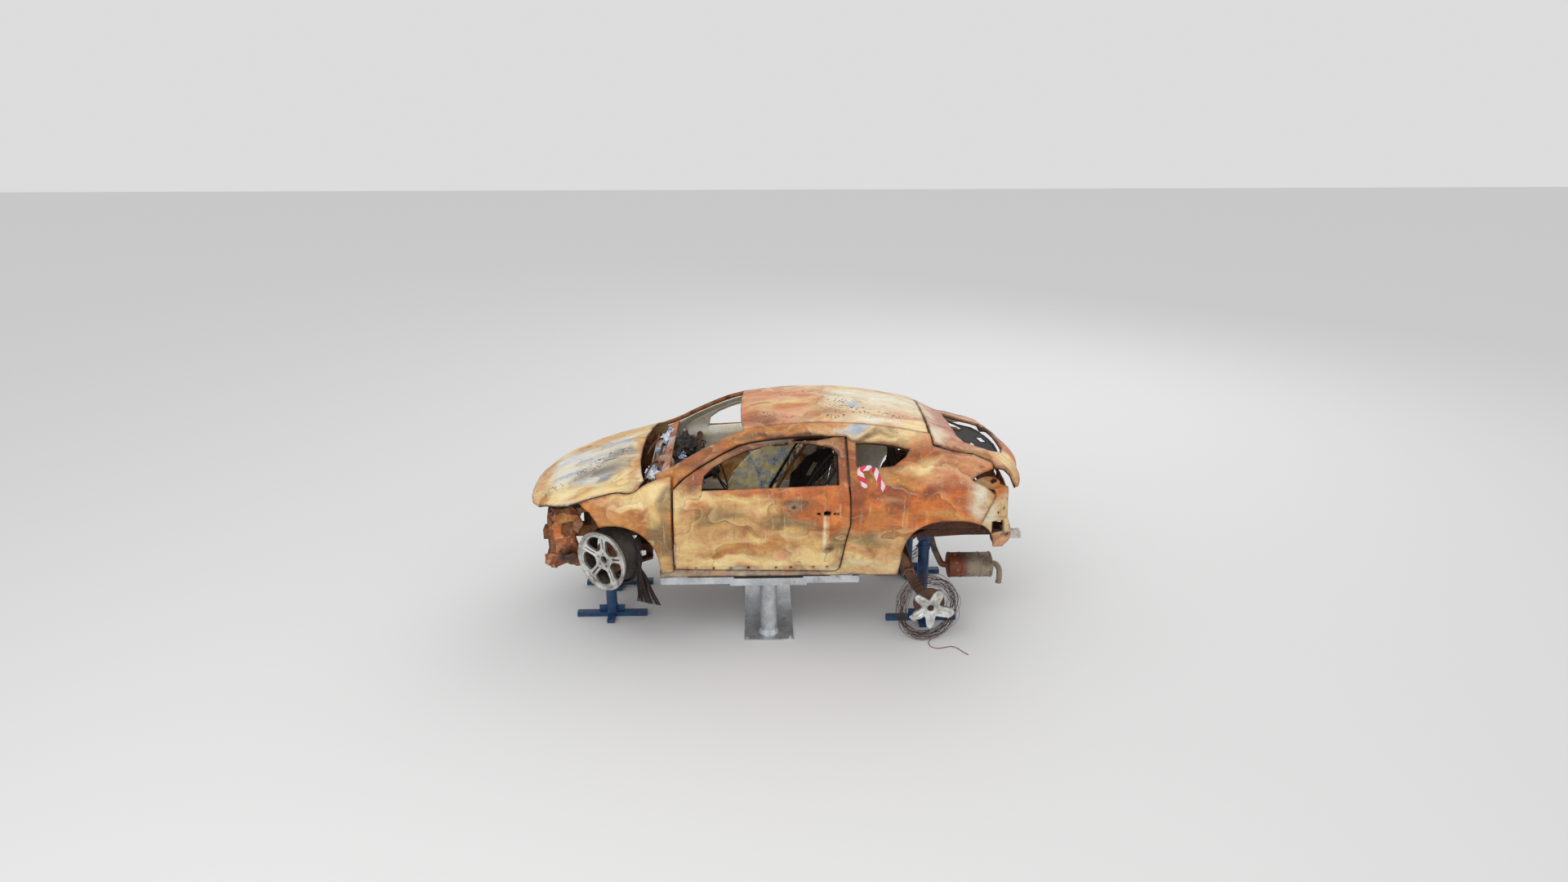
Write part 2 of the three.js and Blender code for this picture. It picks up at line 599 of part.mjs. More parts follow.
// Front end: a chassis leg with its strut tower on each side, the frame of the radiator, and the radiator.
const TOWER_X = -1302;
const TOWER_Y = 598;
for (const [name, side] of SIDES) {
  const leg = box(-1900, -955, 440, 520, 400, 500);
  const crashBox = box(-1952, -1899, 425, 535, 385, 470);
  const apron = plateXZ([[-1560, 490], [-957, 490], [-957, 795], [-1100, 800], [-1480, 760], [-1560, 640]], 500, 510);
  const tower = rod([TOWER_X, TOWER_Y, 640], [TOWER_X, TOWER_Y, 850], 105, 14, 88);
  const hollow = rod([TOWER_X, TOWER_Y, 600], [TOWER_X, TOWER_Y, 830], 97, 14, 78);
  const topRail = plateXZ([[-1640, 700], [-1500, 740], [-957, 805], [-957, 760], [-1500, 690], [-1640, 650]], 560, 640);
  const web = box(-1400, -1200, 500, 540, 470, 830);
  const half = cut(join(leg, crashBox, apron, topRail, web, tower), hollow);
  add("chassis_leg_" + name, side < 0 ? mirrorY(half) : half, FINISH.rust);
}
// The crushed sheet that the lamp and the bumper's corner were fixed to is folded round the end of the leg.
const LAMP_PANEL = [
  [-1866, 690], [-1830, 612], [-1842, 560], [-1880, 508], [-1872, 383], [-1905, 258], [-1868, 190], [-1776, 212],
  [-1672, 200], [-1652, 300], [-1690, 420], [-1664, 540], [-1640, 640], [-1690, 694], [-1770, 672],
];
const lampFold = (x, z) => 16 * Math.sin(x / 38 + z / 90) + 12 * Math.sin(z / 46) - 0.1 * (x + 1780);
const lampPanel = (side) =>
  panel(LAMP_PANEL, [], 60, 70, (x, z, layer) => new THREE.Vector3(x, side * (562 + lampFold(x, z) + layer * SKIN), z));
const frontFrame = join(
  box(-1900, -1850, -540, 540, 610, 650),
  box(-1900, -1850, -585, 585, 150, 200),
  box(-1895, -1855, -585, -530, 190, 640),
  box(-1895, -1855, 530, 585, 190, 640),
  box(-1895, -1855, -25, 25, 190, 650),
  lampPanel(-1),
  lampPanel(1),
);
add("front_frame", frontFrame, FINISH.iron);
add("radiator", box(-1840, -1790, -410, 410, 210, 600), FINISH.iron);
add("engine_block", join(box(-1700, -1180, -300, 300, 330, 720), box(-1600, -1250, 299, 420, 300, 560)), FINISH.iron);

// Front suspension.
const subframe = join(
  box(-1500, -1080, -400, -320, 205, 265),
  box(-1500, -1080, 320, 400, 205, 265),
  box(-1230, -1080, -321, 321, 205, 265),
  box(-1500, -1440, -321, 321, 205, 250),
);
const BALL = [-1335, 715, 185];
const TOP_MOUNT = [TOWER_X, TOWER_Y, 822];
const armOutline = [
  [-1400, 390], [-1300, 390], [-1230, 480], [-1110, 390], [-1080, 390], [-1080, 450], [-1240, 570], [-1300, 735],
  [-1362, 735], [-1375, 600],
];
const lowerArm = plateXY(armOutline, 150, 172);
const lugs = [box(-1395, -1310, 345, 400, 160, 210), box(-1140, -1085, 345, 400, 160, 210)];
add("subframe", join(subframe, lowerArm, mirrorY(lowerArm), ...lugs, ...lugs.map(mirrorY)), FINISH.rust);

// The alloy rim, about the Y axis through its centre, with its outer face towards +Y.
const RIM_RADIUS = 247;
function ring(profile, segments) {
  return new THREE.LatheGeometry(profile.map(([r, y]) => new THREE.Vector2(r, y)), segments);
}
const barrelProfile = [
  [RIM_RADIUS, -98], [RIM_RADIUS, -90], [228, -84], [226, -60], [206, -30], [206, 30], [222, 56], [226, 92], [RIM_RADIUS, 100],
  [RIM_RADIUS, 108], [238, 110], [218, 98], [212, 60], [198, 30], [198, -36], [216, -60], [220, -94], [RIM_RADIUS, -98],
];
const SPOKES = 5;
const turned = (radius, degrees) => {
  const angle = (degrees * Math.PI) / 180;
  return new THREE.Vector2(radius * Math.sin(angle), radius * Math.cos(angle));
};
function spokeFace(depth, windowHole) {
  const disc = new THREE.Shape();
  disc.absarc(0, 0, 224, 0, Math.PI * 2);
  const hub = new THREE.Path();
  hub.absarc(0, 0, 32, 0, Math.PI * 2);
  disc.holes.push(hub);
  for (let i = 0; i < SPOKES; i += 1)
    disc.holes.push(new THREE.Path(windowHole.map(([r, a]) => turned(r, a + (i * 360) / SPOKES + WINDOW_TURN))));
  const g = new THREE.ExtrudeGeometry(disc, { depth, bevelEnabled: false, curveSegments: 18 });
  return g.rotateX(-Math.PI / 2);
}
const WINDOW_HOLE = [[84, -15], [84, 15], [118, 23], [178, 26], [198, 20], [206, 0], [198, -20], [178, -26], [118, -23]];
const WINDOW_TURN = -9; // degrees from straight down to the first window
function rim() {
  const face = spokeFace(34, WINDOW_HOLE).translate(0, 62, 0);
  const hub = cut(rod([0, 30, 0], [0, 72, 0], 78, 20), rod([0, 20, 0], [0, 80, 0], 31, 12));
  return join(ring(barrelProfile, 26), face, hub);
}
// Half-melted rim: the star of spokes with ragged ends, and what is left of its inner barrel.
const MELTED = [ // angle from the top, radius where the metal ends
  [0, 178], [12, 150], [24, 96], [36, 84], [50, 118], [62, 176], [76, 196], [88, 178], [98, 120], [108, 84], [124, 90],
  [138, 140], [150, 178], [164, 172], [174, 130], [184, 86], [198, 82], [210, 120], [222, 172], [236, 166], [246, 112],
  [258, 80], [272, 90], [284, 140], [296, 184], [308, 176], [318, 120], [328, 88], [340, 110], [350, 160],
];
function meltedRim() {
  const star = new THREE.Shape(MELTED.map(([a, r]) => turned(r, a)));
  const hole = new THREE.Path();
  hole.absarc(0, 0, 33, 0, Math.PI * 2);
  star.holes.push(hole);
  const face = new THREE.ExtrudeGeometry(star, { depth: 30, bevelEnabled: false, curveSegments: 6 });
  const hub = cut(rod([0, 20, 0], [0, 62, 0], 78, 16), rod([0, 10, 0], [0, 80, 0], 32, 12));
  return join(face.rotateX(-Math.PI / 2).translate(0, 58, 0), hub);
}
const brakeDisc = (radius) =>
  join(cut(rod([0, -4, 0], [0, 22, 0], radius, 24), rod([0, -5, 0], [0, 23, 0], radius * 0.55, 16)),
    cut(rod([0, 0, 0], [0, 44, 0], radius * 0.56, 16), rod([0, -1, 0], [0, 60, 0], 30, 12)));

// The front wheels and what steers them, in line with the car, then turned about the steering axis.
const WHEEL_Y = 773;
const axisPoint = (side) => new THREE.Vector3(BALL[0], side * BALL[1], BALL[2]);
const axisLine = (side) => new THREE.Vector3(TOP_MOUNT[0] - BALL[0], side * (TOP_MOUNT[1] - BALL[1]), TOP_MOUNT[2] - BALL[2]).normalize();
for (const [name, side] of SIDES) {
  const steered = new THREE.Group();
  const base = axisPoint(side);
  const turn = new THREE.Quaternion().setFromAxisAngle(axisLine(side), (STEER * Math.PI) / 180);
  steered.quaternion.copy(turn);
  steered.position.copy(base.clone().sub(base.clone().applyQuaternion(turn)));
  car.add(steered);
  const hub = [AXLE_FRONT - 8, WHEEL_Y, HUB_HEIGHT];
  const handed = (g) => (side < 0 ? mirrorY(g) : g);
  const onHub = (g) => g.translate(...hub);
  const knuckle = join(
    rod([BALL[0], BALL[1], 178], [BALL[0] + 6, BALL[1] - 20, 260], 22, 10),
    box(hub[0] - 38, hub[0] + 38, 690, 726, 235, 430),
    rod([hub[0], 690, HUB_HEIGHT], [hub[0], WHEEL_Y - 2 - TOUCH, HUB_HEIGHT], 46, 14),
    box(hub[0] + 96, hub[0] + 152, 706, 736, 275, 400),
    box(hub[0] + 30, hub[0] + 100, 700, 722, 300, 370),
  );
  const along = (z) => {
    const t = (z - BALL[2]) / (TOP_MOUNT[2] - BALL[2]);
    return [BALL[0] + t * (TOP_MOUNT[0] - BALL[0]), BALL[1] + t * (TOP_MOUNT[1] - BALL[1]) , z];
  };
  const strut = join(rod(along(434), along(660), 24, 12), rod(along(602), along(614), 62, 14), rod(along(630), along(800), 12, 8));
  add("knuckle_" + name, handed(join(knuckle, strut, box(BALL[0] - 26, hub[0] + 30, 672, 706, 400, 470))), FINISH.iron, steered);
  const disc = onHub(brakeDisc(138).translate(0, TOUCH, 0));
  add("brake_disc_" + name, handed(disc), FINISH.rust, steered);
  const wheel = onHub(rim().translate(0, 16, 0));
  add("wheel_front_" + name, handed(wheel), FINISH.alloy, steered);
  const strand = (points, radius) => tube(points.map(([x, y, z]) => [hub[0] + x, y, z]), radius, 6, 10);
  const strands = join(
    strand([[212, 655, 480], [262, 715, 420], [276, 752, 330], [285, 768, 190], [292, 775, 60], [294, 780, -25]], 20),
    strand([[279, 752, 322], [284, 735, 180], [288, 716, 70], [292, 700, 4], [294, 690, -2]], 15),
    strand([[278, 758, 318], [280, 800, 180], [284, 822, 60], [276, 830, -40]], 14),
  );
  if (side < 0) add("tyre_wire_front_" + name, handed(strands), FINISH.soot, steered);
}

// Rear axle: burnt off its springs, its arms hang from their front pivots and the hubs lie low.
const REAR_HUB = [1205, 742, -150];
const armLine = [[925, 540, 232], [985, 556, 190], [1040, 570, 95], [1090, 580, -20], [1150, 590, -105], [1205, 596, -150]];
const arms = SIDES.map(([, side]) => tube(armLine.map(([x, y, z]) => [x, side * y, z]), 44, 8, 10));
const crossBeam = plateXZ([[985, 60], [1010, 120], [1075, 130], [1100, 75], [1085, 70], [1066, 112], [1020, 106], [1000, 55]], -640, 640);
const hubPlates = SIDES.flatMap(([, side]) => [
  rod([REAR_HUB[0], side * 580, REAR_HUB[2]], [REAR_HUB[0], side * (REAR_HUB[1] - 2), REAR_HUB[2]], 52, 14),
  rod([918, side * 520, 234], [932, side * 600, 230], 36, 12),
]);
const rearDiscs = SIDES.map(([, side]) => {
  const disc = rod([REAR_HUB[0], 706, REAR_HUB[2]], [REAR_HUB[0], 728, REAR_HUB[2]], 130, 24);
  return side < 0 ? mirrorY(disc) : disc;
});
add("rear_axle", join(crossBeam, ...arms, ...hubPlates, ...rearDiscs), FINISH.iron);
for (const [name, side] of SIDES) {
  const handed = (g) => (side < 0 ? mirrorY(g) : g);
  add("wheel_rear_" + name, handed(meltedRim().translate(REAR_HUB[0], REAR_HUB[1] + 2, REAR_HUB[2])), FINISH.alloy);
}

// What is left of the rear tyres: a slumped ring of steel wire that reaches the floor.
function slumped(radius, lowest) {
  return Array.from({ length: 24 }, (_, i) => {
    const a = (i * Math.PI * 2) / 24;
    const down = Math.max(0, -Math.cos(a));
    const r = radius + (REAR_HUB[2] - lowest - radius) * down * down;
    return [REAR_HUB[0] - 22 * down + r * Math.sin(a), REAR_HUB[2] + r * Math.cos(a)];
  });
}
for (const [name, side] of SIDES) {
  const full = plateXZ(slumped(228, FLOOR), 650, 800);
  const loop = cut(full, plateXZ(slumped(204, FLOOR + 24), 640, 810));
  add("tyre_wire_rear_" + name, side < 0 ? mirrorY(loop) : loop, FINISH.soot);
}

// Exhaust: pipe down the tunnel, silencer hanging low behind the axle, tail pipe bent down.
const silencerCentre = [1582, -430, 52];
const oval = new THREE.Shape();
oval.absellipse(0, 0, 124, 104, 0, Math.PI * 2);
const shell = new THREE.ExtrudeGeometry(oval, { depth: 340, bevelEnabled: true, bevelThickness: 24, bevelSize: 16, bevelOffset: -16, bevelSegments: 1, curveSegments: 10 })
  .rotateZ(Math.PI / 2).rotateY(Math.PI / 2).translate(silencerCentre[0] - 170, silencerCentre[1], silencerCentre[2]);
const tailPipe = tube([[1750, -430, 60], [1800, -434, 58], [1836, -440, 10], [1842, -446, -66], [1836, -450, -112]], 25, 8, 10);
add("silencer", join(shell, tailPipe), FINISH.iron);
const pipe = tube([[-1040, -40, 150], [-600, 0, 140], [600, 0, 140], [900, -40, 158], [1130, -130, 240], [1255, -215, 262], [1300, -320, 150], [1338, -400, 72], [1358, -424, 54]], 27, 8, 26);
add("exhaust_pipe", pipe, FINISH.iron);

// Rear end: the panel under the tailgate, its bumper brackets and the two chassis members over the trestles.
const tailPanelLine = [
  [1806, -600], [1832, -556], [1856, -300], [1862, 0], [1856, 300], [1832, 556], [1806, 600],
  [1792, 600], [1818, 552], [1842, 300], [1848, 0], [1842, -300], [1818, -552], [1792, -600],
];
add("tail_panel", plateXY(tailPanelLine, 432, 780), FINISH.burnt);
for (const [name, side] of SIDES) {
  const bracket = box(1838.3, 1972, 472, 560, 350, 404);
  add("bumper_bracket_" + name, side < 0 ? mirrorY(bracket) : bracket, FINISH.alloy);
}

// Cabin: crossbar of the dashboard with the steering column, two seat frames and the rear backrest.
const dash = join(
  rod([-720, -690, 850], [-720, 690, 850], 26, 10),
  rod([-900, -372, 760], [-560, -372, 905], 26, 10),
  rod([-570, -372, 900], [-540, -372, 914], 60, 14),
  box(-800, -690, -430, -330, 800, 885),
  box(-880, -700, 130, 470, 800, 900),
  box(-860, -716, -120, 60, 640, 860),
);
add("dash_bar", dash, FINISH.soot);
const SEAT_SHIFT = { left: 0, right: -170 }; // how far each seat is moved on its rails
for (const [name, side] of SIDES) {
  const seatBack = plateXZ(band([[120, 470], [210, 640], [310, 800], [440, 975], [470, 1000]], -34), 150, 600);
  const cushion = plateXZ(band([[-330, 440], [-250, 400], [60, 380], [150, 430]], -40), 150, 610);
  const rails = join(box(-300, 130, 190, 225, 240, 400), box(-300, 130, 540, 575, 240, 400));
  const frame = join(cushion, rails, seatBack, box(90, 160, 150, 600, 400, 480)).translate(SEAT_SHIFT[name], 0, 0);
  add("seat_frame_" + name, side < 0 ? mirrorY(frame) : frame, FINISH.ash);
}
const rearBack = join(
  plateYZ([[-540, 420], [540, 420], [540, 900], [420, 930], [380, 880], [140, 880], [100, 930], [-100, 930], [-140, 880], [-380, 880], [-420, 930], [-540, 900]], 980, 1004),
  box(700, 1004, -520, 520, 405, 440),
);
add("rear_seat_frame", rearBack, FINISH.soot);

// Lift: one long floor plate, two rams, and on each a beam under the sill with two rubber pads.
const LIFT_X = -118;
const RAM_Y = 628;
const PLATE_TOP = FLOOR + 12;
const plateHoles = [-1, 0, 1].flatMap((i) => [-1, 1].map((j) =>
  rod([LIFT_X + i * 178, j * 738, FLOOR - 5], [LIFT_X + i * 178, j * 738, PLATE_TOP + 5], 9, 8)));
add("lift_plate", cut(box(LIFT_X - 203, LIFT_X + 203, -757, 757, FLOOR, PLATE_TOP), ...plateHoles), FINISH.lift);
const BEAM_BOTTOM = 72;
const BEAM_TOP = 150;
for (const [name, side] of SIDES) {
  const ram = join(rod([LIFT_X, RAM_Y, PLATE_TOP + TOUCH], [LIFT_X, RAM_Y, BEAM_BOTTOM + 5], 68, 24), rod([LIFT_X, RAM_Y, PLATE_TOP + TOUCH], [LIFT_X, RAM_Y, PLATE_TOP + 40], 84, 24, 70));
  const pads = [[-950, -770], [380, 560]].map(([x0, x1]) => box(x0, x1, 706, 796, BEAM_TOP - 2, SILL_BOTTOM - TOUCH));
  const beam = join(
    ram,
    box(-430, 190, 560, 800, BEAM_BOTTOM, BEAM_TOP - 14),
    box(-991, -400, 700, 800, BEAM_BOTTOM + 18, BEAM_TOP),
    box(160, 611, 700, 800, BEAM_BOTTOM + 18, BEAM_TOP),
    ...pads,
  );
  add("lift_arm_" + name, side < 0 ? mirrorY(beam) : beam, FINISH.lift);
}

// Blue trestles: a base bar along the car, a foot across it, a column and a saddle.
const TRESTLES = [ // end, x, y, top
  ["front", -1466, 290, 205],
  ["rear", 1190, 435, 330],
];
for (const [end, x, y, top] of TRESTLES)
  for (const [name, side] of SIDES) {
    const trestle = join(
      box(x - 300, x + 300, y - 30, y + 30, FLOOR, FLOOR + 40),
      box(x - 30, x + 30, y - 150, y + 150, FLOOR, FLOOR + 34),
      rod([x, y, FLOOR + 20], [x, y, top - 30], 46, 14),
      box(x - 60, x + 60, y - 35, y + 35, top - 34, top - TOUCH),
    );
    add("trestle_" + end + "_" + name, side < 0 ? mirrorY(trestle) : trestle, FINISH.trestle);
  }

const wreck = new THREE.Group();
wreck.add(car);
car.position.set(CENTRE_X, 0, LIFT);
export default wreck;
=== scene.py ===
"""A burnt-out compact coupe on a workshop lift: the finish of every surface, over the frame that CAD made."""

import math

import bmesh
import bpy
import numpy as np
from mathutils import Matrix, Vector, noise


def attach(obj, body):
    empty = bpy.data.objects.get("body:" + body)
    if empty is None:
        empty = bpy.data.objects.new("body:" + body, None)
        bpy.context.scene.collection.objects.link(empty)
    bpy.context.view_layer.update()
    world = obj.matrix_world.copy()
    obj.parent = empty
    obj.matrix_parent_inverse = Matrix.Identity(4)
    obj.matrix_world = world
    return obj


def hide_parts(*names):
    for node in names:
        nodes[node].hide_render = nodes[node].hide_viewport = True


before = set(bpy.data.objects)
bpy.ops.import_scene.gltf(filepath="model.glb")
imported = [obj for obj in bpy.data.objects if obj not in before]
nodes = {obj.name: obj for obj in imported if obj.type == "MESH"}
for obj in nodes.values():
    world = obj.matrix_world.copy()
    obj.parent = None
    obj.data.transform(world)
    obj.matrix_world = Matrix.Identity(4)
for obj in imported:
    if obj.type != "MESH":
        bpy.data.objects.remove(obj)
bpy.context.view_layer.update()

# The workshop. A pale floor, two large soft lamps and an even sky. The camera stands 8.5 m off the car's left
# side and 4.6 m up, where the photograph was taken from.
ROAD = 0.460  # the height of the car's own road line over the workshop floor
SHIFT = 0.035  # the frame's origin lies this far in front of the middle of the wheelbase
scene = bpy.context.scene
scene.view_settings.view_transform = "Standard"
camera = bpy.data.objects.new("camera", bpy.data.cameras.new("camera"))
camera.data.sensor_width = 36
camera.data.lens = 24.44
camera.location = (SHIFT - 0.2153, -8.4858, 4.5848)
camera.rotation_euler = (math.radians(69.92), 0, math.radians(-1.64))
scene.collection.objects.link(camera)
scene.camera = camera

bpy.ops.object.select_all(action="DESELECT")
bpy.ops.mesh.primitive_grid_add(x_subdivisions=4, y_subdivisions=4, size=60, location=(0, 0, -0.001))
workshop = bpy.context.object
workshop.name = "workshop_floor"

scene.world = bpy.data.worlds.new("sky")
scene.world.use_nodes = True
sky = scene.world.node_tree.nodes["Background"]
sky.inputs["Color"].default_value = (1.0, 1.0, 1.0, 1)
sky.inputs["Strength"].default_value = 0.72
LAMPS = (  # name, place, aim, size, watts
    ("lamp_near", (-3.0, -7.5, 7.5), (0, 0, 0.8), 8.0, 300),
    ("lamp_far", (4.0, 6.5, 7.5), (0, 0, 0.8), 8.0, 200),
)
for name, place, aim, size, watts in LAMPS:
    lamp = bpy.data.objects.new(name, bpy.data.lights.new(name, "AREA"))
    lamp.data.size = size
    lamp.data.energy = watts
    lamp.location = place
    lamp.rotation_euler = (Vector(aim) - Vector(place)).to_track_quat("-Z", "Y").to_euler()
    scene.collection.objects.link(lamp)


# The lift. A galvanised plate bolted over the pit, two rams, and an arm with rubber-faced pads under each
# sill. It is clean steel, dulled and scratched, with oil round its foot.
class Tone:
    """A number on its way through a finish's nodes."""

    def __init__(self, finish, socket):
        self.finish = finish
        self.socket = socket

    def maths(self, operation, first, second):
        return self.finish.add("ShaderNodeMath", {"operation": operation}, {0: first, 1: second})

    def __add__(self, other):
        return self.maths("ADD", self, other)

    def __sub__(self, other):
        return self.maths("SUBTRACT", self, other)

    def __rsub__(self, other):
        return self.maths("SUBTRACT", other, self)

    def __mul__(self, other):
        return self.maths("MULTIPLY", self, other)

    __radd__ = __add__
    __rmul__ = __mul__

    def step(self, low, high, top=1.0):
        """0 below low, top above high, and an even rise between; low may be the larger."""
        values = {"Value": self, "From Min": low, "From Max": high, "To Min": 0.0, "To Max": top}
        return self.finish.add("ShaderNodeMapRange", {"interpolation_type": "SMOOTHSTEP"}, values)

    def ramp(self, *stops):
        """Colours along this number, as (place, (r, g, b)) in sRGB from 0 to 255."""
        return self.finish.add("ShaderNodeValToRGB", {"stops": stops}, {"Fac": self})


def srgb(colour):
    """A colour from 0 to 255 as Blender's linear one."""
    return tuple(((c / 255 + 0.055) / 1.055) ** 2.4 if c > 10 else c / 3294.6 for c in colour[:3]) + (1.0,)


class Finish:
    """A material under a plain name, and the node calls that paint it."""

    def __init__(self, name, roughness=0.7, metallic=0.0):
        self.material = bpy.data.materials.new(name)
        self.material.use_nodes = True
        self.tree = self.material.node_tree
        self.shader = self.tree.nodes["Principled BSDF"]
        self.shader.inputs["Roughness"].default_value = roughness
        self.shader.inputs["Metallic"].default_value = metallic
        self.place = self.add("ShaderNodeTexCoord", out="Object")

    def add(self, kind, settings=None, values=None, out=0):
        """A new node with its settings and its inputs' values; out is the output to go on with."""
        node = self.tree.nodes.new(kind)
        for key, value in (settings or {}).items():
            if key == "stops":
                for element, (at, colour) in zip(self.stops(node, len(value)), value):
                    element.position = at
                    element.color = srgb(colour)
            else:
                setattr(node, key, value)
        for key, value in (values or {}).items():
            self.set(node.inputs[key], value)
        return Tone(self, node.outputs[out])

    def stops(self, node, count):
        ramp = node.color_ramp
        while len(ramp.elements) < count:
            ramp.elements.new(0.5)
        return ramp.elements

    def set(self, socket, value):
        """Joins a number on its way to a socket, or writes a plain value there."""
        if isinstance(value, Tone):
            self.tree.links.new(value.socket, socket)
        else:
            socket.default_value = value

    def mix(self, mask, under, over, blend="MIX"):
        """One colour over another; a plain colour is sRGB from 0 to 255."""
        under, over = (c if isinstance(c, Tone) else srgb(c) for c in (under, over))
        settings = {"data_type": "RGBA", "blend_type": blend}
        return self.add("ShaderNodeMix", settings, {0: mask, 6: under, 7: over}, out=2)

    def vector(self, operation, first, second, out=0):
        return self.add("ShaderNodeVectorMath", {"operation": operation}, {0: first, 1: second}, out)

    def noise(self, scale, detail=4.0, rough=0.55, at=None, out=0):
        values = {"Vector": at or self.place, "Scale": scale, "Detail": detail, "Roughness": rough}
        return self.add("ShaderNodeTexNoise", {}, values, out)

    def patch(self, at, centre, radii, edge, low=1.12, high=0.78, top=1.0):
        """1 inside an ellipsoid round centre, with its border moved by edge and fading from high to low."""
        offset = self.vector("SUBTRACT", at, centre)
        reach = self.vector("LENGTH", self.vector("DIVIDE", offset, radii), (0, 0, 0), out="Value")
        return (reach + edge).step(low, high, top)

    def wear(self, colour, roughness, bump, distance):
        """Joins colour, roughness and relief to the shader; distance is the relief's depth in metres."""
        self.set(self.shader.inputs["Base Color"], colour)
        self.set(self.shader.inputs["Roughness"], roughness)
        values = {"Strength": 0.6, "Distance": distance, "Height": bump}
        self.set(self.shader.inputs["Normal"], self.add("ShaderNodeBump", {}, values, "Normal"))
        return self.material


def pick(piece):
    """Selects one piece alone, for the operators that follow."""
    bpy.ops.object.select_all(action="DESELECT")
    piece.select_set(True)
    bpy.context.view_layer.objects.active = piece


def dress(piece, material, smooth=None):
    """Gives a piece its one material, and shades it smooth up to an angle in degrees."""
    piece.data.materials.clear()
    piece.data.materials.append(material)
    if smooth:
        pick(piece)
        bpy.ops.object.shade_smooth_by_angle(angle=math.radians(smooth))


def galvanised():
    """Zinc-coated steel with its spangle, scratches and oily dirt."""
    f = Finish("galvanised_steel", metallic=0.75)
    cloud = f.noise(5.0, 6)
    spangle = f.add("ShaderNodeTexVoronoi", {"feature": "F1"}, {"Vector": f.place, "Scale": 60.0},
                    "Distance")
    scratch = f.noise(40.0, 3, at=f.vector("MULTIPLY", f.place, (1, 6, 0.4)))
    colour = (cloud + (spangle - 0.4) * 0.15).ramp((0.3, (168, 172, 176)), (0.5, (200, 204, 208)),
                                                   (0.7, (224, 226, 228)))
    dirt = (f.noise(9.0, 7, 0.7) + f.noise(80.0, 3) * 0.2).step(0.62, 0.82, 0.5)
    colour = f.mix(dirt, colour, (92, 74, 58))
    return f.wear(colour, dirt * 0.3 + scratch * 0.25 + 0.18, scratch + spangle * 0.3, 0.0004)


steel = galvanised()
for name in ("lift_plate", "lift_arm_left", "lift_arm_right"):
    dress(nodes[name], steel, 30)


# The body's shape. The pressed panels all lie on one outer shape. These are its sections, one to a row, in
# millimetres over the road line: half-widths y and heights z of the lines along the body.
# x, sill z, sill y, waist z, waist y, shoulder z, shoulder y, belt z, belt y, rail z, rail y, crown z
SECTIONS = np.array([
    (-2090, 585, 250, 600, 290, 612, 310, 624, 318, 640, 300, 664),
    (-2000, 560, 500, 580, 535, 600, 545, 620, 545, 652, 515, 728),
    (-1900, 470, 640, 540, 670, 590, 668, 640, 660, 692, 625, 782),
    (-1700, 330, 780, 500, 835, 610, 828, 705, 785, 766, 716, 850),
    (-1500, 250, 835, 520, 885, 680, 872, 785, 812, 834, 738, 908),
    (-1320, 240, 852, 540, 896, 710, 880, 825, 818, 882, 738, 950),
    (-1100, 230, 850, 550, 888, 735, 872, 872, 810, 945, 722, 992),
    (-960, 200, 832, 560, 878, 745, 862, 895, 800, 992, 706, 1022),
    (-862, 165, 815, 570, 872, 745, 858, 904, 802, 1036, 692, 1062),
    (-700, 165, 812, 575, 868, 745, 855, 908, 804, 1122, 664, 1142),
    (-500, 165, 812, 580, 866, 750, 855, 914, 808, 1220, 620, 1245),
    (-330, 165, 812, 585, 866, 755, 856, 919, 811, 1280, 584, 1318),
    (-150, 165, 812, 590, 868, 760, 858, 925, 814, 1309, 567, 1358),
    (50, 165, 812, 595, 870, 765, 860, 933, 816, 1326, 560, 1385),
    (250, 165, 812, 600, 873, 775, 864, 945, 816, 1333, 560, 1397),
    (450, 165, 814, 605, 880, 790, 870, 962, 812, 1329, 560, 1397),
    (650, 165, 818, 615, 890, 815, 876, 1005, 798, 1313, 557, 1384),
    (850, 165, 824, 630, 899, 850, 878, 1062, 770, 1286, 551, 1358),
    (1020, 165, 830, 645, 905, 885, 872, 1115, 732, 1259, 544, 1326),
    (1180, 200, 834, 655, 909, 905, 868, 1160, 684, 1230, 535, 1290),
    (1320, 240, 834, 660, 910, 905, 866, 1152, 664, 1200, 522, 1248),
    (1480, 290, 822, 655, 898, 895, 856, 1122, 670, 1156, 510, 1196),
    (1640, 330, 790, 640, 868, 870, 832, 1078, 684, 1106, 498, 1140),
    (1760, 360, 745, 620, 826, 830, 796, 1018, 690, 1056, 480, 1090),
    (1860, 390, 690, 590, 765, 760, 745, 935, 665, 985, 448, 1030),
    (1940, 420, 610, 570, 690, 710, 680, 860, 615, 912, 412, 968),
    (1992, 450, 540, 560, 610, 660, 605, 780, 560, 826, 385, 890),
    (2016, 470, 490, 560, 550, 620, 548, 700, 515, 728, 365, 780),
], dtype=float)
SLOPES = np.empty_like(SECTIONS)
SLOPES[1:-1] = (SECTIONS[2:] - SECTIONS[:-2]) / (SECTIONS[2:, :1] - SECTIONS[:-2, :1])
SLOPES[0] = (SECTIONS[1] - SECTIONS[0]) / (SECTIONS[1, 0] - SECTIONS[0, 0])
SLOPES[-1] = (SECTIONS[-1] - SECTIONS[-2]) / (SECTIONS[-1, 0] - SECTIONS[-2, 0])
SPAN_STEPS = 10  # straight pieces that each span of a section's curve is cut into
MID_ROOF, MID_RISE = 0.55, 0.74  # the roof's middle line, as shares of the rail's width and the crown's rise
SAG = 72  # how far the heat has let the right rear roof down


def hermite(a, b, slope_a, slope_b, t):
    """The smooth curve from a to b at t, which leaves and arrives with the given slopes."""
    gap = b - a
    return (a + t * slope_a + t * t * (3 * gap - 2 * slope_a - slope_b)
            + t ** 3 * (slope_a + slope_b - 2 * gap))


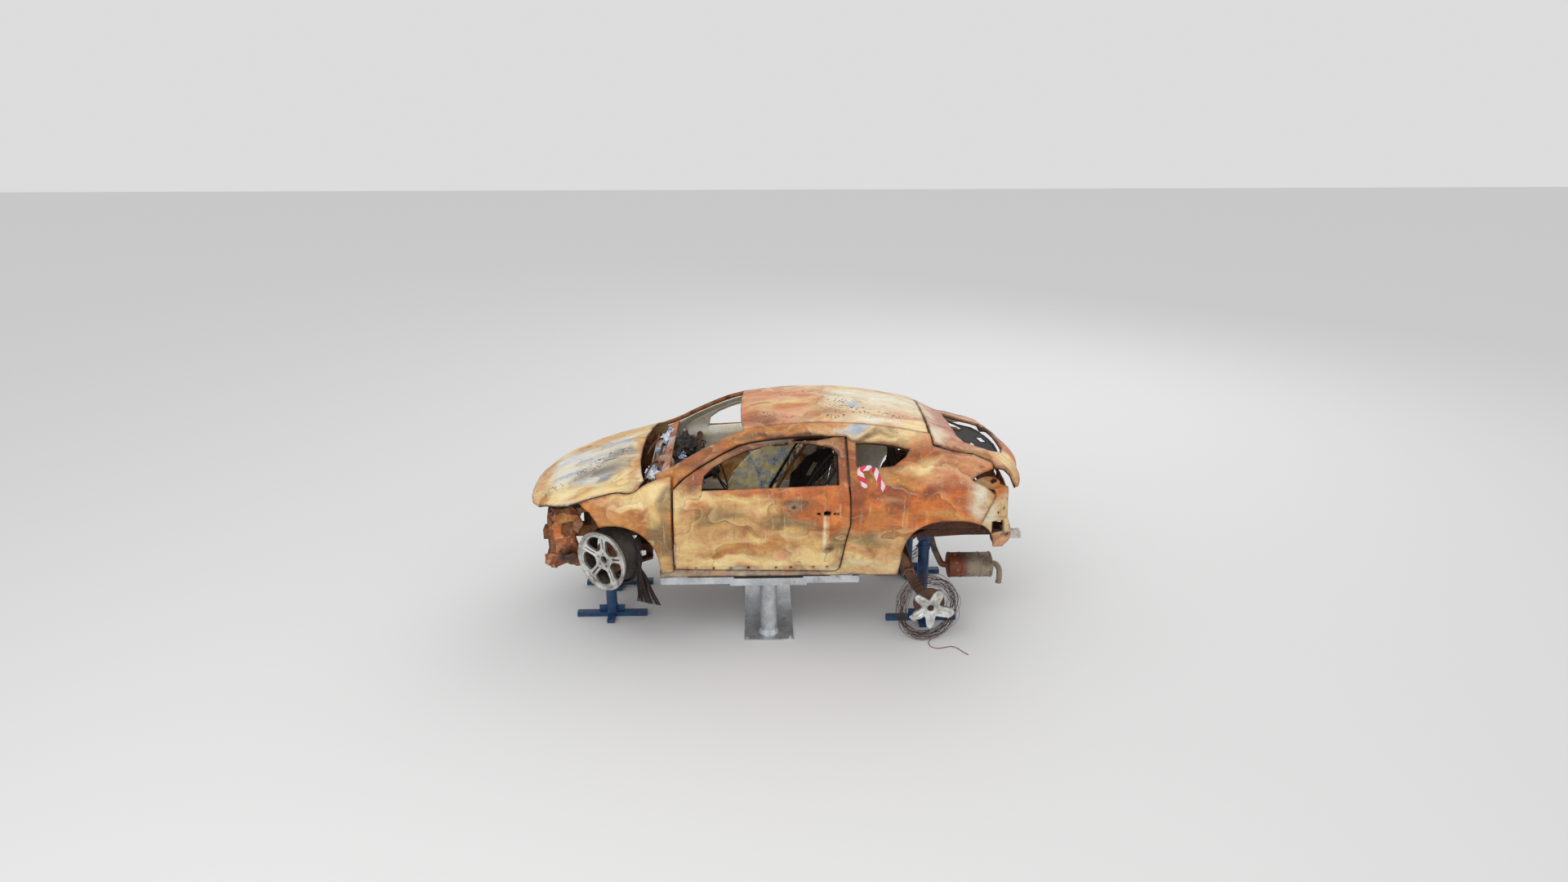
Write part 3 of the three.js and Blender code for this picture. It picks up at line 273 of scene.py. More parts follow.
def lines_at(x):
    """Every column of SECTIONS at each x, in millimetres."""
    x = np.clip(np.atleast_1d(np.asarray(x, float)), SECTIONS[0, 0], SECTIONS[-1, 0])
    i = np.clip(np.searchsorted(SECTIONS[:, 0], x, side="right") - 1, 0, len(SECTIONS) - 2)
    width = (SECTIONS[i + 1, 0] - SECTIONS[i, 0])[:, None]
    t = (x - SECTIONS[i, 0])[:, None] / width
    return hermite(SECTIONS[i], SECTIONS[i + 1], SLOPES[i] * width, SLOPES[i + 1] * width, t)


def rail_z(x):
    """The height of the roof rail's line."""
    return lines_at(x)[:, 9]


def rail_y(x):
    """The half-width of the roof rail's line."""
    return lines_at(x)[:, 10]


def rise(value, low, high):
    """0 at low, 1 at high, and an even rise between."""
    t = np.clip((np.asarray(value, float) - low) / (high - low), 0, 1)
    return t * t * (3 - 2 * t)


def on_shape(x, u, side):
    """Points of the outer shape at stations x and girths u, on the left (-1) or the right (1). The girth
    is the height up to the rail, and past it the rail's height plus the distance inboard of it."""
    x, u = np.broadcast_arrays(np.asarray(x, float), np.asarray(u, float))
    c = lines_at(x)
    knots = [np.stack([c[:, k + 1], c[:, k]], 1) for k in (1, 3, 5, 7, 9)]
    middle = c[:, 9] + (c[:, 11] - c[:, 9]) * MID_RISE
    knots += [np.stack([c[:, 10] * MID_ROOF, middle], 1), np.stack([c[:, 10] * 0, c[:, 11]], 1)]
    knots.append(np.stack([-c[:, 10] * MID_ROOF, middle], 1))
    line, girth = [], []
    for i in range(len(knots) - 2):
        p0, p1, p2, p3 = knots[max(i - 1, 0)], knots[i], knots[i + 1], knots[i + 2]
        length = np.linalg.norm(p2 - p1, axis=1)[:, None]
        before = np.maximum(np.linalg.norm(p1 - p0, axis=1), 1)[:, None]
        after = np.linalg.norm(p3 - p2, axis=1)[:, None]
        start = (0.5 if i else 0.4) * length * ((p2 - p1) / length + (p1 - p0) / before)
        end = 0.5 * length * ((p3 - p2) / after + (p2 - p1) / length)
        for s in range(1 if i else 0, SPAN_STEPS + 1):
            point = hermite(p1, p2, start, end, s / SPAN_STEPS)
            line.append(point)
            girth.append(c[:, 9] + c[:, 10] - point[:, 0] if i >= 4 else np.minimum(point[:, 1], c[:, 9]))
    line = np.stack(line, 1)
    girth = np.maximum.accumulate(np.stack(girth, 1) + np.arange(len(girth)) * 0.01, axis=1)
    k = np.clip((girth <= u[:, None]).sum(1) - 1, 0, girth.shape[1] - 2)
    row = np.arange(len(k))
    t = ((u - girth[row, k]) / (girth[row, k + 1] - girth[row, k]))[:, None]
    yz = line[row, k] + t * (line[row, k + 1] - line[row, k])
    y = side * yz[:, 0]
    along = rise(x, 1080, 1460) * (1 - 0.5 * rise(x, 1600, 1880))
    z = yz[:, 1] - SAG * along * rise(y, -560, 560) * rise(yz[:, 1], 800, 960)
    return np.stack([x, y, z], 1)


def out_of_shape(x, u, side):
    """The unit normals there, from the slopes over a small reach either way."""
    reach = 12.0
    at = np.clip(x, SECTIONS[0, 0] + reach, SECTIONS[-1, 0] - reach)
    girth = np.minimum(u, rail_z(at) + rail_y(at) - reach)
    along = on_shape(at + reach, girth, side) - on_shape(at - reach, girth, side)
    up = on_shape(at, girth + reach, side) - on_shape(at, girth - reach, side)
    normal = np.cross(along, up)
    normal /= np.linalg.norm(normal, axis=1)[:, None]
    return normal if side < 0 else -normal


def inside(points, loop):
    """Which points of the plane lie inside a closed outline."""
    x, y = points[:, 0], points[:, 1]
    odd = np.zeros(len(points), bool)
    for (ax, ay), (bx, by) in zip(loop, np.roll(loop, -1, axis=0)):
        if ay != by:
            odd ^= ((ay > y) != (by > y)) & (x < (bx - ax) * (y - ay) / (by - ay) + ax)
    return odd


def onto(points, loops):
    """Each point moved to the nearest place on the outlines."""
    best = np.full(len(points), np.inf)
    out = points.copy()
    for loop in loops:
        for a, b in zip(loop, np.roll(loop, -1, axis=0)):
            edge = b - a
            t = np.clip(((points - a) @ edge) / max(edge @ edge, 1e-9), 0, 1)
            foot = a + t[:, None] * edge
            far = np.linalg.norm(points - foot, axis=1)
            closer = far < best
            best[closer] = far[closer]
            out[closer] = foot[closer]
    return out


def blank(name, outline, holes, cell):
    """A flat sheet cut to an outline with holes, in millimetres: a grid whose border is drawn onto
    the outline. Returns the object, its flat points and which of them lie on a border."""
    loops = [np.array(loop, float) for loop in (outline, *holes)]
    low, high = loops[0].min(0), loops[0].max(0)
    count = np.maximum(np.round((high - low) / cell).astype(int), 2)
    bpy.ops.object.select_all(action="DESELECT")
    bpy.ops.mesh.primitive_grid_add(x_subdivisions=int(count[0]), y_subdivisions=int(count[1]), size=2)
    piece = bpy.context.object
    piece.name = name
    sheet = bmesh.new()
    sheet.from_mesh(piece.data)
    for vertex in sheet.verts:
        vertex.co = Vector((*(low + (high - low) * (np.array(vertex.co[:2]) + 1) / 2), 0))
    centres = np.array([face.calc_center_median()[:2] for face in sheet.faces])
    keep = inside(centres, loops[0])
    for hole in loops[1:]:
        keep &= ~inside(centres, hole)
    waste = [face for face, kept in zip(sheet.faces, keep) if not kept]
    bmesh.ops.delete(sheet, geom=waste, context="FACES")
    sheet.verts.index_update()
    flat = np.array([vertex.co[:2] for vertex in sheet.verts])
    border = np.array([vertex.is_boundary for vertex in sheet.verts])
    drawn = flat.copy()
    drawn[border] = onto(flat[border], loops)
    edge_ids = np.flatnonzero(border)
    for corner in np.concatenate(loops):
        nearest = edge_ids[np.argmin(np.linalg.norm(flat[edge_ids] - corner, axis=1))]
        if np.linalg.norm(flat[nearest] - corner) < cell:
            drawn[nearest] = corner
    for vertex, (x, u) in zip(sheet.verts, drawn):
        vertex.co = Vector((x, u, 0))
    for _ in range(2):
        bmesh.ops.smooth_vert(sheet, verts=[v for v in sheet.verts if not v.is_boundary], factor=0.5,
                              use_axis_x=True, use_axis_y=True)
    sheet.to_mesh(piece.data)
    sheet.free()
    flat = np.array([vertex.co[:2] for vertex in piece.data.vertices])
    return piece, flat, border


def waves(points, scale, height, seed, octaves=3):
    """Smooth unevenness of the sheet at points in millimetres."""
    return np.array([
        height * noise.fractal(Vector((p[0] * scale + seed, p[1] * scale, p[2] * scale)), 0.9, 2.1, octaves)
        for p in points
    ])


def pressed(name, outline, holes, cell, form, fold, gauge=1.6):
    """A sheet pressed over the body's shape. form(flat) gives its points and outward normals; its border
    is folded in by fold millimetres (out where fold is negative), and gauge is the sheet's thickness.
    Each point keeps its distance from the sheet's border, in millimetres, as the attribute edge."""
    piece, flat, border = blank(name, outline, holes, cell)
    points, normals = form(flat)
    loops = [np.array(loop, float) for loop in (outline, *holes)]
    inboard = np.linalg.norm(onto(flat, loops) - flat, axis=1)
    sheet = bmesh.new()
    sheet.from_mesh(piece.data)
    from_edge = sheet.verts.layers.float.new("edge")
    for vertex, point, far in zip(sheet.verts, points, inboard):
        vertex.co = Vector(point)
        vertex[from_edge] = far
    sheet.normal_update()
    sheet.verts.ensure_lookup_table()
    facing = sum(face.normal.dot(Vector(normals[face.verts[0].index])) for face in sheet.faces)
    if facing < 0:
        bmesh.ops.reverse_faces(sheet, faces=sheet.faces[:])
    rim = [edge for edge in sheet.edges if edge.is_boundary]
    inward = {v.index: Vector(normals[v.index]) for edge in rim for v in edge.verts}
    made = bmesh.ops.extrude_edge_only(sheet, edges=rim)["geom"]
    fresh = [v for v in made if isinstance(v, bmesh.types.BMVert)]
    near = {}
    for edge in sheet.edges:
        a, b = edge.verts
        if (a in fresh) != (b in fresh):
            old, new = (b, a) if a in fresh else (a, b)
            near[new] = old.index
    for vertex in fresh:
        vertex.co -= inward[near[vertex]] * fold
    bmesh.ops.scale(sheet, vec=(0.001, 0.001, 0.001), verts=sheet.verts[:])
    bmesh.ops.translate(sheet, vec=(SHIFT, 0, ROAD), verts=sheet.verts[:])
    sheet.to_mesh(piece.data)
    sheet.free()
    wall = piece.modifiers.new("gauge", "SOLIDIFY")
    wall.thickness = gauge / 1000
    wall.offset = -1
    bpy.ops.object.modifier_apply(modifier=wall.name)
    piece.data.shade_smooth()
    return piece


def along_rail(start, end, steps, offset):
    """Places beside the roof rail's line, offset above it, as (x, girth)."""
    x = np.linspace(start, end, steps + 1)
    return np.stack([x, rail_z(x) + offset], 1).tolist()


def arc(cx, cz, radius, start, end, steps, power=1.0):
    """A wheel arch's edge between two angles; a power below 1 squares it off."""
    a = np.radians(np.linspace(start, end, steps + 1))
    reach = np.sign(np.cos(a)) * np.abs(np.cos(a)) ** power
    return np.stack([cx + radius * reach, cz + radius * np.sin(a) ** power], 1).tolist()


# The body's sides. One steel pressing on each side, from the windscreen pillar to the tail: sill, door
# opening, side window, haunch and wheel arch, with a second skin spot-welded inside it.
REAR_ARCH = (1320, 290, 380)  # x, z and radius
RAIL_FACE, DITCH = 42, 62  # from the rail's line down to the door opening, and up to the roof panel's joint
DOOR_FRONT = -862
ROOF_REAR = 1188
door_hole = [
    (-870, 228), (414, 197), (455, 228), (495, 470), (531, 638), (529, 852), (520, 988),
    *[(x, float(rail_z(x)[0]) - RAIL_FACE) for x in np.linspace(505, -352, 9)],
    (-476, 1176), (-586, 1118), (-686, 1062), (-768, 1009), (-806, 978), (-870, 920),
]
quarter_window = [(575, 1076), (745, 1068), (868, 1082), (962, 1138), (1000, 1184), (925, 1206), (800, 1228),
                  (640, 1244), (572, 1238)]


def rear_arch(outset, start, end, steps):
    """The rear wheel arch's edge, moved out by outset millimetres."""
    return arc(REAR_ARCH[0], REAR_ARCH[1], REAR_ARCH[2] + outset, start, end, steps, 0.8)


body_side = [
    (-985, 165), (918, 165), (934, 300), *rear_arch(0, 176, 58, 18), (1672, 852), (1600, 916), (1482, 978),
    (1531, 1010), (1600, 1028), (1672, 1042), (1646, 1078), (1514, 1127), (1328, 1160), (ROOF_REAR, 1196),
    *along_rail(ROOF_REAR - 2, -1015, 24, DITCH), (-1015, 978), (-950, 1004), (-950, 226), (-985, 205),
]


def dent(flat, x, u, wide, tall, depth):
    """A soft round dent about (x, u)."""
    return depth * np.exp(-((flat[:, 0] - x) / wide) ** 2 - ((flat[:, 1] - u) / tall) ** 2)


def side_form(side, depth, relief=None, *, seed):
    """A form for pressed(): the body's shape at a depth, with the sheet's unevenness on it."""
    def form(flat):
        x, u = flat[:, 0], flat[:, 1]
        points = on_shape(x, u, side)
        normals = out_of_shape(x, u, side)
        deep = depth(x, u) if callable(depth) else np.full(len(x), float(depth))
        deep = deep + waves(points, 0.0045, 2.0, seed) + waves(points, 0.02, 0.6, seed + 7, 2)
        if relief:
            deep = deep + relief(flat)
        return points - normals * deep[:, None], normals
    return form


def pillar_set_back(x, u):
    """How far the windscreen pillar's foot lies inside the wing, which covers it."""
    ahead_of_door = 1 - rise(x, DOOR_FRONT - 10, DOOR_FRONT + 8)
    return 34 * ahead_of_door * rise(u, 206, 222) * (1 - rise(u, rail_z(x) + 20, rail_z(x) + 50))


def haunch_dents(flat):
    """The haunch's dents and the step above the sill."""
    step = 4 * rise(flat[:, 1], 318, 312) * rise(flat[:, 0], 520, 560) * (1 - rise(flat[:, 0], 880, 930))
    return (dent(flat, 1530, 880, 60, 50, 14) + dent(flat, 1600, 780, 40, 90, 9)
            - dent(flat, 1470, 905, 50, 30, 8) + dent(flat, 900, 1010, 90, 26, 7)
            + dent(flat, 700, 880, 60, 120, 5) + dent(flat, 1230, 1040, 160, 30, 7) + step)


def settle(piece, body, stands_for=()):
    """Sets a finished piece on its body, in place of the CAD nodes it stands for."""
    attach(piece, body)
    if stands_for:
        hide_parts(*stands_for)


SIDES = (("left", -1), ("right", 1))  # the car's left is on -Y

# The fire's colours, in sRGB from 0 to 255. RUST also serves for a painted shadow on the sides, and CREAM for
# a painted highlight on the wings.
ORANGE, RUST, BROWN, SOOT = (204, 112, 48), (156, 82, 42), (98, 58, 36), (44, 34, 30)
OCHRE, TAN, OLIVE, SAND = (204, 144, 76), (200, 154, 98), (146, 120, 80), (224, 186, 126)
CREAM, BONE, ASH, GREY = (246, 220, 162), (234, 226, 204), (186, 198, 214), (146, 138, 126)
SALMON, GOLD = (216, 150, 110), (196, 132, 66)

THROUGH = 90  # metres; a patch goes right through the car
NARROW = 0.03  # metres; patches narrower than this are runs and drips, and keep straight


def burnt(name, ground, patches=(), across=False, slide=(0.0, 0.0), cracks=0.6, streaks=0.3, pits=(),
          flow=1.0, edged=True):
    """Sheet steel whose paint has burnt off: a ground of two colours, and patches on it, each
    (x, z, length, height, colour) in metres, or (x, y, length, width, colour) on a panel across the car.
    The patches are the fire's colours, save a painted shadow on the sides and a painted highlight on the
    wings.
    slide moves them all. cracks and flow are the strength and the number of the brown tide lines, streaks
    the rain's runs, and pits the places of small burnt holes.
    edged steel is browner along its border, which a pressed sheet keeps as the attribute edge."""
    f = Finish(name)
    swirl = f.noise(2.8, 2, 0.5, out="Color")
    swirl = f.vector("MULTIPLY", f.vector("SUBTRACT", swirl, (0.5, 0.5, 0.5)), (0.30, 0.30, 0.30))
    warped = f.vector("ADD", f.place, swirl)
    drawn = f.vector("MULTIPLY", warped, (0.5, 1.0, 1.0))
    broad = f.noise(5.0, 8, 0.60, at=drawn)
    grain = f.noise(26.0, 6, 0.7, at=drawn)
    fine = f.noise(170.0, 3, 0.6)
    stain = (broad - 0.5) * 1.2 + (grain - 0.5) * 0.4

    def mask(a, b, long, high, top):
        a, b = a + SHIFT + slide[0], b + slide[1]
        centre = (a, b, 0) if across else (a, 0, b + ROAD)
        radii = (long, high, THROUGH) if across else (long, THROUGH, high)
        at = f.place if long < NARROW else warped
        return f.patch(at, centre, radii, stain, low=1.6, high=0.35, top=top)

    colour = f.mix(broad.step(0.40, 0.60), *ground)
    for a, b, long, high, shade in patches:
        colour = f.mix(mask(a, b, long, high, 0.92), colour, shade)
    cloud = f.noise(11.0, 7, 0.66, at=drawn)
    light = cloud * 0.6 + grain * 0.4
    light = light.ramp((0.36, (116, 96, 80)), (0.5, (184, 183, 180)), (0.63, (236, 230, 216)))
    colour = f.mix(0.8, colour, light, "OVERLAY")
    tide = f.noise(1.7, 3, 0.5, at=drawn) * 8.0 * flow + (grain - 0.5) * 0.12
    tide = f.add("ShaderNodeMath", {"operation": "FRACT"}, {0: tide})
    shore = (cloud + broad).step(0.90, 1.10, cracks)
    fade = broad.step(0.62, 0.42)
    colour = f.mix(tide.step(0.55, 1.0, 0.45) * fade, colour, f.mix(0.6, colour, (126, 92, 58), "MULTIPLY"))
    colour = f.mix(tide.step(0.40, 0.02, 0.4) * fade, colour, f.mix(0.5, colour, (255, 226, 176)))
    colour = f.mix((tide.step(0.93, 0.98) - tide.step(0.985, 1.0)) * shore * fade, colour, (96, 56, 34))
    run = f.noise(9.0, 5, 0.62, at=f.vector("MULTIPLY", f.place, (3.6, 3.6, 0.30)))
    colour = f.mix(run.step(0.56, 0.72, streaks), colour, (122, 84, 54))
    colour = f.mix(run.step(0.42, 0.28, streaks), colour, (250, 226, 178))
    colour = f.mix((grain + (fine - 0.5) * 0.6).step(0.58, 0.72, 0.5), colour, (120, 66, 34))
    colour = f.mix((grain + (fine - 0.5) * 0.5).step(0.40, 0.26, 0.35), colour, (255, 236, 196))
    colour = f.mix(fine.step(0.62, 0.74, 0.4), colour, (66, 42, 30))
    if pits:
        values = {"Vector": f.place, "Scale": 36.0}
        spots = f.add("ShaderNodeTexVoronoi", {"feature": "F1"}, values, "Distance")
        here = 0.0
        for a, b, long, high in pits:
            here = mask(a, b, long, high, 1.0) + here
        spots = (spots + (grain - 0.5) * 0.5).step(0.40, 0.26)
        colour = f.mix(spots * here.step(0.3, 0.6) * cloud.step(0.44, 0.50), colour, (30, 24, 24))
    if edged:
        rim = f.add("ShaderNodeAttribute", {"attribute_name": "edge"}, out="Fac")
        rim = rim + (grain - 0.5) * 20 + (cloud - 0.5) * 26
        colour = f.mix(rim.step(18, 0, 0.4), colour, (110, 60, 34))
        colour = f.mix(rim.step(0, -5, 0.8), colour, (48, 32, 26))
    relief = tide * 0.15 + broad * 1.0 + cloud * 0.5 + grain * 0.5 + fine * 0.15
    return f.wear(colour, grain * 0.3 + 0.34, relief, 0.003)


# The sides' patches. The narrow upright rust one at (0.87, 0.82) is a painted shadow ahead of the rear wheel
# arch; the rest are the fire's colours.
side_patches_and_shadow = (
    (1.12, 0.80, 0.40, 0.18, ORANGE), (0.78, 0.66, 0.18, 0.10, GOLD), (0.55, 0.76, 0.10, 0.26, RUST),
    (0.90, 0.62, 0.34, 0.07, ORANGE), (0.87, 0.82, 0.07, 0.15, RUST), (1.16, 0.90, 0.28, 0.05, RUST),
    (1.12, 1.03, 0.40, 0.08, OCHRE), (1.11, 1.08, 0.18, 0.05, CREAM), (1.30, 0.98, 0.22, 0.07, SALMON),
    (0.82, 1.00, 0.24, 0.05, GOLD), (1.55, 0.84, 0.10, 0.13, BONE), (0.70, 0.43, 0.34, 0.18, TAN),
    (0.62, 0.50, 0.18, 0.07, OLIVE), (0.56, 0.36, 0.10, 0.10, SAND), (0.70, 0.26, 0.36, 0.08, CREAM),
    (1.28, 0.72, 0.20, 0.04, OCHRE), (1.62, 0.80, 0.07, 0.12, TAN), (1.50, 1.10, 0.20, 0.05, SALMON),
    (-0.45, 1.26, 0.26, 0.07, GOLD), (-0.05, 1.34, 0.44, 0.07, GOLD), (0.85, 1.32, 0.52, 0.09, CREAM),
    (0.60, 1.34, 0.14, 0.03, ASH), (0.20, 1.275, 0.60, 0.022, BROWN), (0.46, 1.14, 0.06, 0.14, RUST),
    (-0.66, 1.12, 0.30, 0.13, (150, 92, 52)), (-0.86, 1.02, 0.20, 0.06, GOLD),
    (-0.75, 0.94, 0.12, 0.07, RUST), (-0.10, 0.13, 1.60, 0.16, (172, 164, 146)),
    (0.70, 0.20, 0.30, 0.04, SAND),
)


def sooty(name, ground=(BROWN, SOOT), rust=0.5):
    """Steel that no rain has reached: soot with rust and pale ash on it."""
    f = Finish(name, 0.9)
    broad, grain = f.noise(4.0, 7, 0.65), f.noise(30.0, 5, 0.7)
    colour = f.mix((broad + (grain - 0.5) * 0.5).step(0.38, 0.60), *ground)
    colour = f.mix((grain + (broad - 0.5) * 0.8).step(0.55, 0.72, rust), colour, (142, 76, 40))
    colour = f.mix(f.noise(70.0, 4, 0.7).step(0.60, 0.74, 0.5), colour, (176, 160, 138))
    return f.wear(colour, grain * 0.2 + 0.72, broad * 0.4 + grain * 0.7, 0.0022)


skin_inside = sooty("burnt_inside")
far_inside = sooty("ashen_inside", ((242, 240, 232), (232, 222, 196)), rust=0.15)
for label, side in SIDES:
    outer = pressed("side_skin_" + label, body_side, [door_hole, quarter_window], 14,
                    side_form(side, pillar_set_back, haunch_dents, seed=3.0 * side), 34)
    slide = (0.0, 0.0) if side < 0 else (-0.14, 0.05)
    dress(outer, burnt("burnt_side_" + label, (RUST, ORANGE), side_patches_and_shadow, slide=slide, cracks=0.45))
    inner = pressed("side_lining_" + label, body_side, [door_hole, quarter_window], 30,
                    side_form(side, lambda x, u: pillar_set_back(x, u) + 45, seed=5.0 * side), -8)
    dress(inner, skin_inside if side < 0 else far_inside)
    settle(outer, "wreck_on_stands", ["body_side_" + label])
    settle(inner, "wreck_on_stands")

# The wings. A single thin pressing bolted along its top and to the pillar. On the left the heat has let its
# top edge and the bonnet's sink in one long dip.
FRONT_ARCH = (-1345, 300, 354)


def wing_top(x, side):
    """The girth at which the wing meets the bonnet, with the dip that the heat has left."""
    x = np.asarray(x, float)
    dip = 30 * np.exp(-((x + 1190) / 85) ** 2) if side < 0 else 12 * np.exp(-((x + 1250) / 120) ** 2)
    return rail_z(x) - 6 - dip


def wing_outline(side):
    """The wing's border, from its foot at the door round the bonnet's seam and the wheel arch."""
    x = np.linspace(-892, -1612, 17)
    return [(-880, 214), (-880, 1006), *np.stack([x, wing_top(x, side)], 1).tolist(), (-1520, 748),
            (-1472, 694), *arc(*FRONT_ARCH, 106, 6, 18), (-976, 214)]


def wing_dents(flat):
    """Shallow dents by the door, a swelling under the bonnet's hinge and the crease over the arch."""
    return (dent(flat, -1010, 880, 60, 30, 7) + dent(flat, -960, 820, 30, 60, 5)
            - dent(flat, -1080, 930, 90, 20, 6) + dent(flat, -1350, 760, 120, 16, 4))


# The wings' patches. The long thin cream one at (-1.10, 0.86) is a painted highlight along the wing's
# shoulder; the rest are the fire's colours.
wing_patches_and_highlight = (
    (-1.52, 0.78, 0.16, 0.05, (200, 120, 58)), (-1.25, 0.74, 0.36, 0.09, GOLD),
    (-1.06, 0.62, 0.14, 0.10, (176, 112, 56)), (-1.10, 0.86, 0.28, 0.045, CREAM),
    (-1.40, 0.83, 0.18, 0.02, SAND), (-1.02, 0.94, 0.14, 0.05, CREAM), (-0.92, 0.80, 0.05, 0.14, OLIVE),
    (-0.95, 0.50, 0.09, 0.24, OLIVE), (-0.96, 0.28, 0.07, 0.09, SAND), (-1.00, 0.74, 0.06, 0.08, SAND),
)
for label, side in SIDES:
    wing = pressed("wing_skin_" + label, wing_outline(side), [], 13,
                   side_form(side, 0, wing_dents, seed=11.0 * side), 11)
    slide = (0.0, 0.0) if side < 0 else (0.10, -0.04)
    dress(wing, burnt("burnt_wing_" + label, ((196, 134, 72), (206, 150, 84)), wing_patches_and_highlight, slide=slide,
                      cracks=0.3, flow=0.7))
    settle(wing, "wreck_on_stands", ["wing_" + label])


# The bonnet, the roof and the tailgate. Three pressings across the car. Bonnet and tailgate have a folded
# edge and a second skin with lightening holes glued inside; the roof is a plain skin, spotted with burnt
# drips, and is welded into the side panels' ditches.
def across(x, u, side):
    """Places at girths u as (x, distance from the centre line), for a panel that lies across the car."""
    x = np.atleast_1d(np.asarray(x, float))
    return np.stack([x, side * (rail_z(x) + rail_y(x) - u)], 1).tolist()


def cross_form(depth, relief=None, *, seed, rough=3.0):
    """A form for pressed() over (x, distance from the centre line along the section)."""
    def form(flat):
        x, w = flat[:, 0], flat[:, 1]
        u = rail_z(x) + rail_y(x) - np.abs(w)
        left, right = on_shape(x, u, -1), on_shape(x, u, 1)
        points = np.where((w < 0)[:, None], left, right)
        normals = np.where((w < 0)[:, None], out_of_shape(x, u, -1), out_of_shape(x, u, 1))
        middle = rise(np.abs(w), 60, 0)[:, None]
        upright = np.array([0, 0, 1]) * middle * np.abs(normals[:, 2:])
        normals = normals * (1 - middle) + upright + normals * middle * [1, 0, 0]
        normals /= np.linalg.norm(normals, axis=1)[:, None]
        deep = depth + waves(points, 0.0035, rough, seed) + waves(points, 0.016, rough * 0.3, seed + 7, 2)
        if relief:
            deep = deep + relief(flat)
        return points - normals * deep[:, None], normals
    return form


seam = np.linspace(-1613, -1137, 12)
bonnet_outline = [
    *across(seam, wing_top(seam, -1) + 7, -1), (-1100, -690), (-1128, -560), (-1162, -300), (-1172, 0),
    (-1162, 300), (-1128, 560), (-1100, 690), *across(seam[::-1], wing_top(seam[::-1], 1) + 7, 1),
    (-1710, 716), (-1800, 668), (-1900, 592), (-1985, 512), (-2042, 410), (-2072, 290), (-2088, 140),
    (-2090, 0), (-2088, -140), (-2072, -290), (-2042, -410), (-1985, -512), (-1900, -592), (-1800, -668),
    (-1710, -716),
]


def bonnet_relief(flat):
    """The two raised creases, and the hollows where the heat has let the bonnet down."""
    w = np.abs(flat[:, 1])
    crease = 7 * np.exp(-((w - (430 + (flat[:, 0] + 1600) * 0.16)) / 34) ** 2)
    return (dent(flat, -1480, -80, 200, 160, 12) - crease * rise(flat[:, 0], -2050, -1800)
            + dent(flat, -1250, -420, 130, 90, 8) - dent(flat, -1170, -560, 70, 80, 6))


bonnet_patches = (
    (-1.78, 0.30, 0.30, 0.40, CREAM), (-1.60, 0.40, 0.20, 0.16, GOLD), (-1.30, 0.50, 0.26, 0.16, SAND),
    (-1.36, 0.26, 0.20, 0.16, BONE), (-1.38, 0.24, 0.12, 0.10, ASH), (-1.44, -0.02, 0.34, 0.10, GREY),
    (-1.80, 0.02, 0.36, 0.26, (214, 220, 226)), (-1.62, -0.20, 0.30, 0.12, BONE),
    (-1.86, -0.28, 0.24, 0.22, BONE), (-1.66, -0.24, 0.24, 0.07, ASH), (-1.46, -0.36, 0.20, 0.17, GREY),
    (-1.56, -0.46, 0.16, 0.07, ASH), (-2.00, -0.30, 0.13, 0.36, SAND), (-2.02, 0.25, 0.10, 0.40, OCHRE),
    (-1.80, -0.56, 0.26, 0.14, CREAM), (-1.56, -0.66, 0.16, 0.06, OCHRE), (-1.38, -0.70, 0.24, 0.07, CREAM),
    (-1.26, -0.57, 0.13, 0.18, CREAM), (-1.18, 0.20, 0.09, 0.26, SAND), (-1.17, -0.22, 0.07, 0.45, OCHRE),
    (-1.94, -0.52, 0.08, 0.08, GOLD),
)
bonnet_pits = ((-1.58, -0.22, 0.20, 0.10), (-1.42, -0.02, 0.16, 0.08), (-1.86, -0.40, 0.12, 0.08))
skin_bonnet = burnt("burnt_bonnet", ((212, 178, 124), (226, 212, 184)), bonnet_patches, across=True,
                    cracks=0.6, streaks=0.1, pits=bonnet_pits, flow=0.8)
bonnet_holes = [
    [(-1280, -500), (-1260, -120), (-1480, -110), (-1580, -330), (-1500, -520)],
    [(-1280, 500), (-1500, 520), (-1580, 330), (-1480, 110), (-1260, 120)],
    [(-1660, -360), (-1600, -60), (-1880, -60), (-1860, -330)],
    [(-1660, 360), (-1860, 330), (-1880, 60), (-1600, 60)],
]
bonnet = pressed("bonnet_skin", bonnet_outline, [], 14, cross_form(0, bonnet_relief, seed=21.0), 20)
bonnet_lining = pressed("bonnet_lining", bonnet_outline, bonnet_holes, 24, cross_form(21, seed=22.0), -14)
dress(bonnet, skin_bonnet)
dress(bonnet_lining, skin_inside)
settle(bonnet, "bonnet", ["bonnet"])
settle(bonnet_lining, "bonnet")

ROOF_FRONT = -312


def roof_edge(start, end, side):
    """The roof panel's border in one of the ditches."""
    x = np.linspace(start, end, 17)
    return np.stack([x, side * (rail_y(x) - DITCH - 5)], 1).tolist()


roof_outline = [
    *roof_edge(ROOF_FRONT, ROOF_REAR - 12, -1), (ROOF_REAR - 16, 0),
    *roof_edge(ROOF_REAR - 12, ROOF_FRONT, 1), (ROOF_FRONT - 18, 300), (ROOF_FRONT - 25, 0),
    (ROOF_FRONT - 18, -300),
]


def roof_relief(flat):
    """The roof's sunken middle and its two long beads."""
    bead = 5 * np.exp(-((np.abs(flat[:, 1]) - 330) / 26) ** 2) * rise(flat[:, 0], -200, 100)
    return (dent(flat, 250, -60, 420, 220, 12) + dent(flat, 820, 120, 180, 200, 9) - bead
            + dent(flat, 1080, -260, 60, 140, 8))


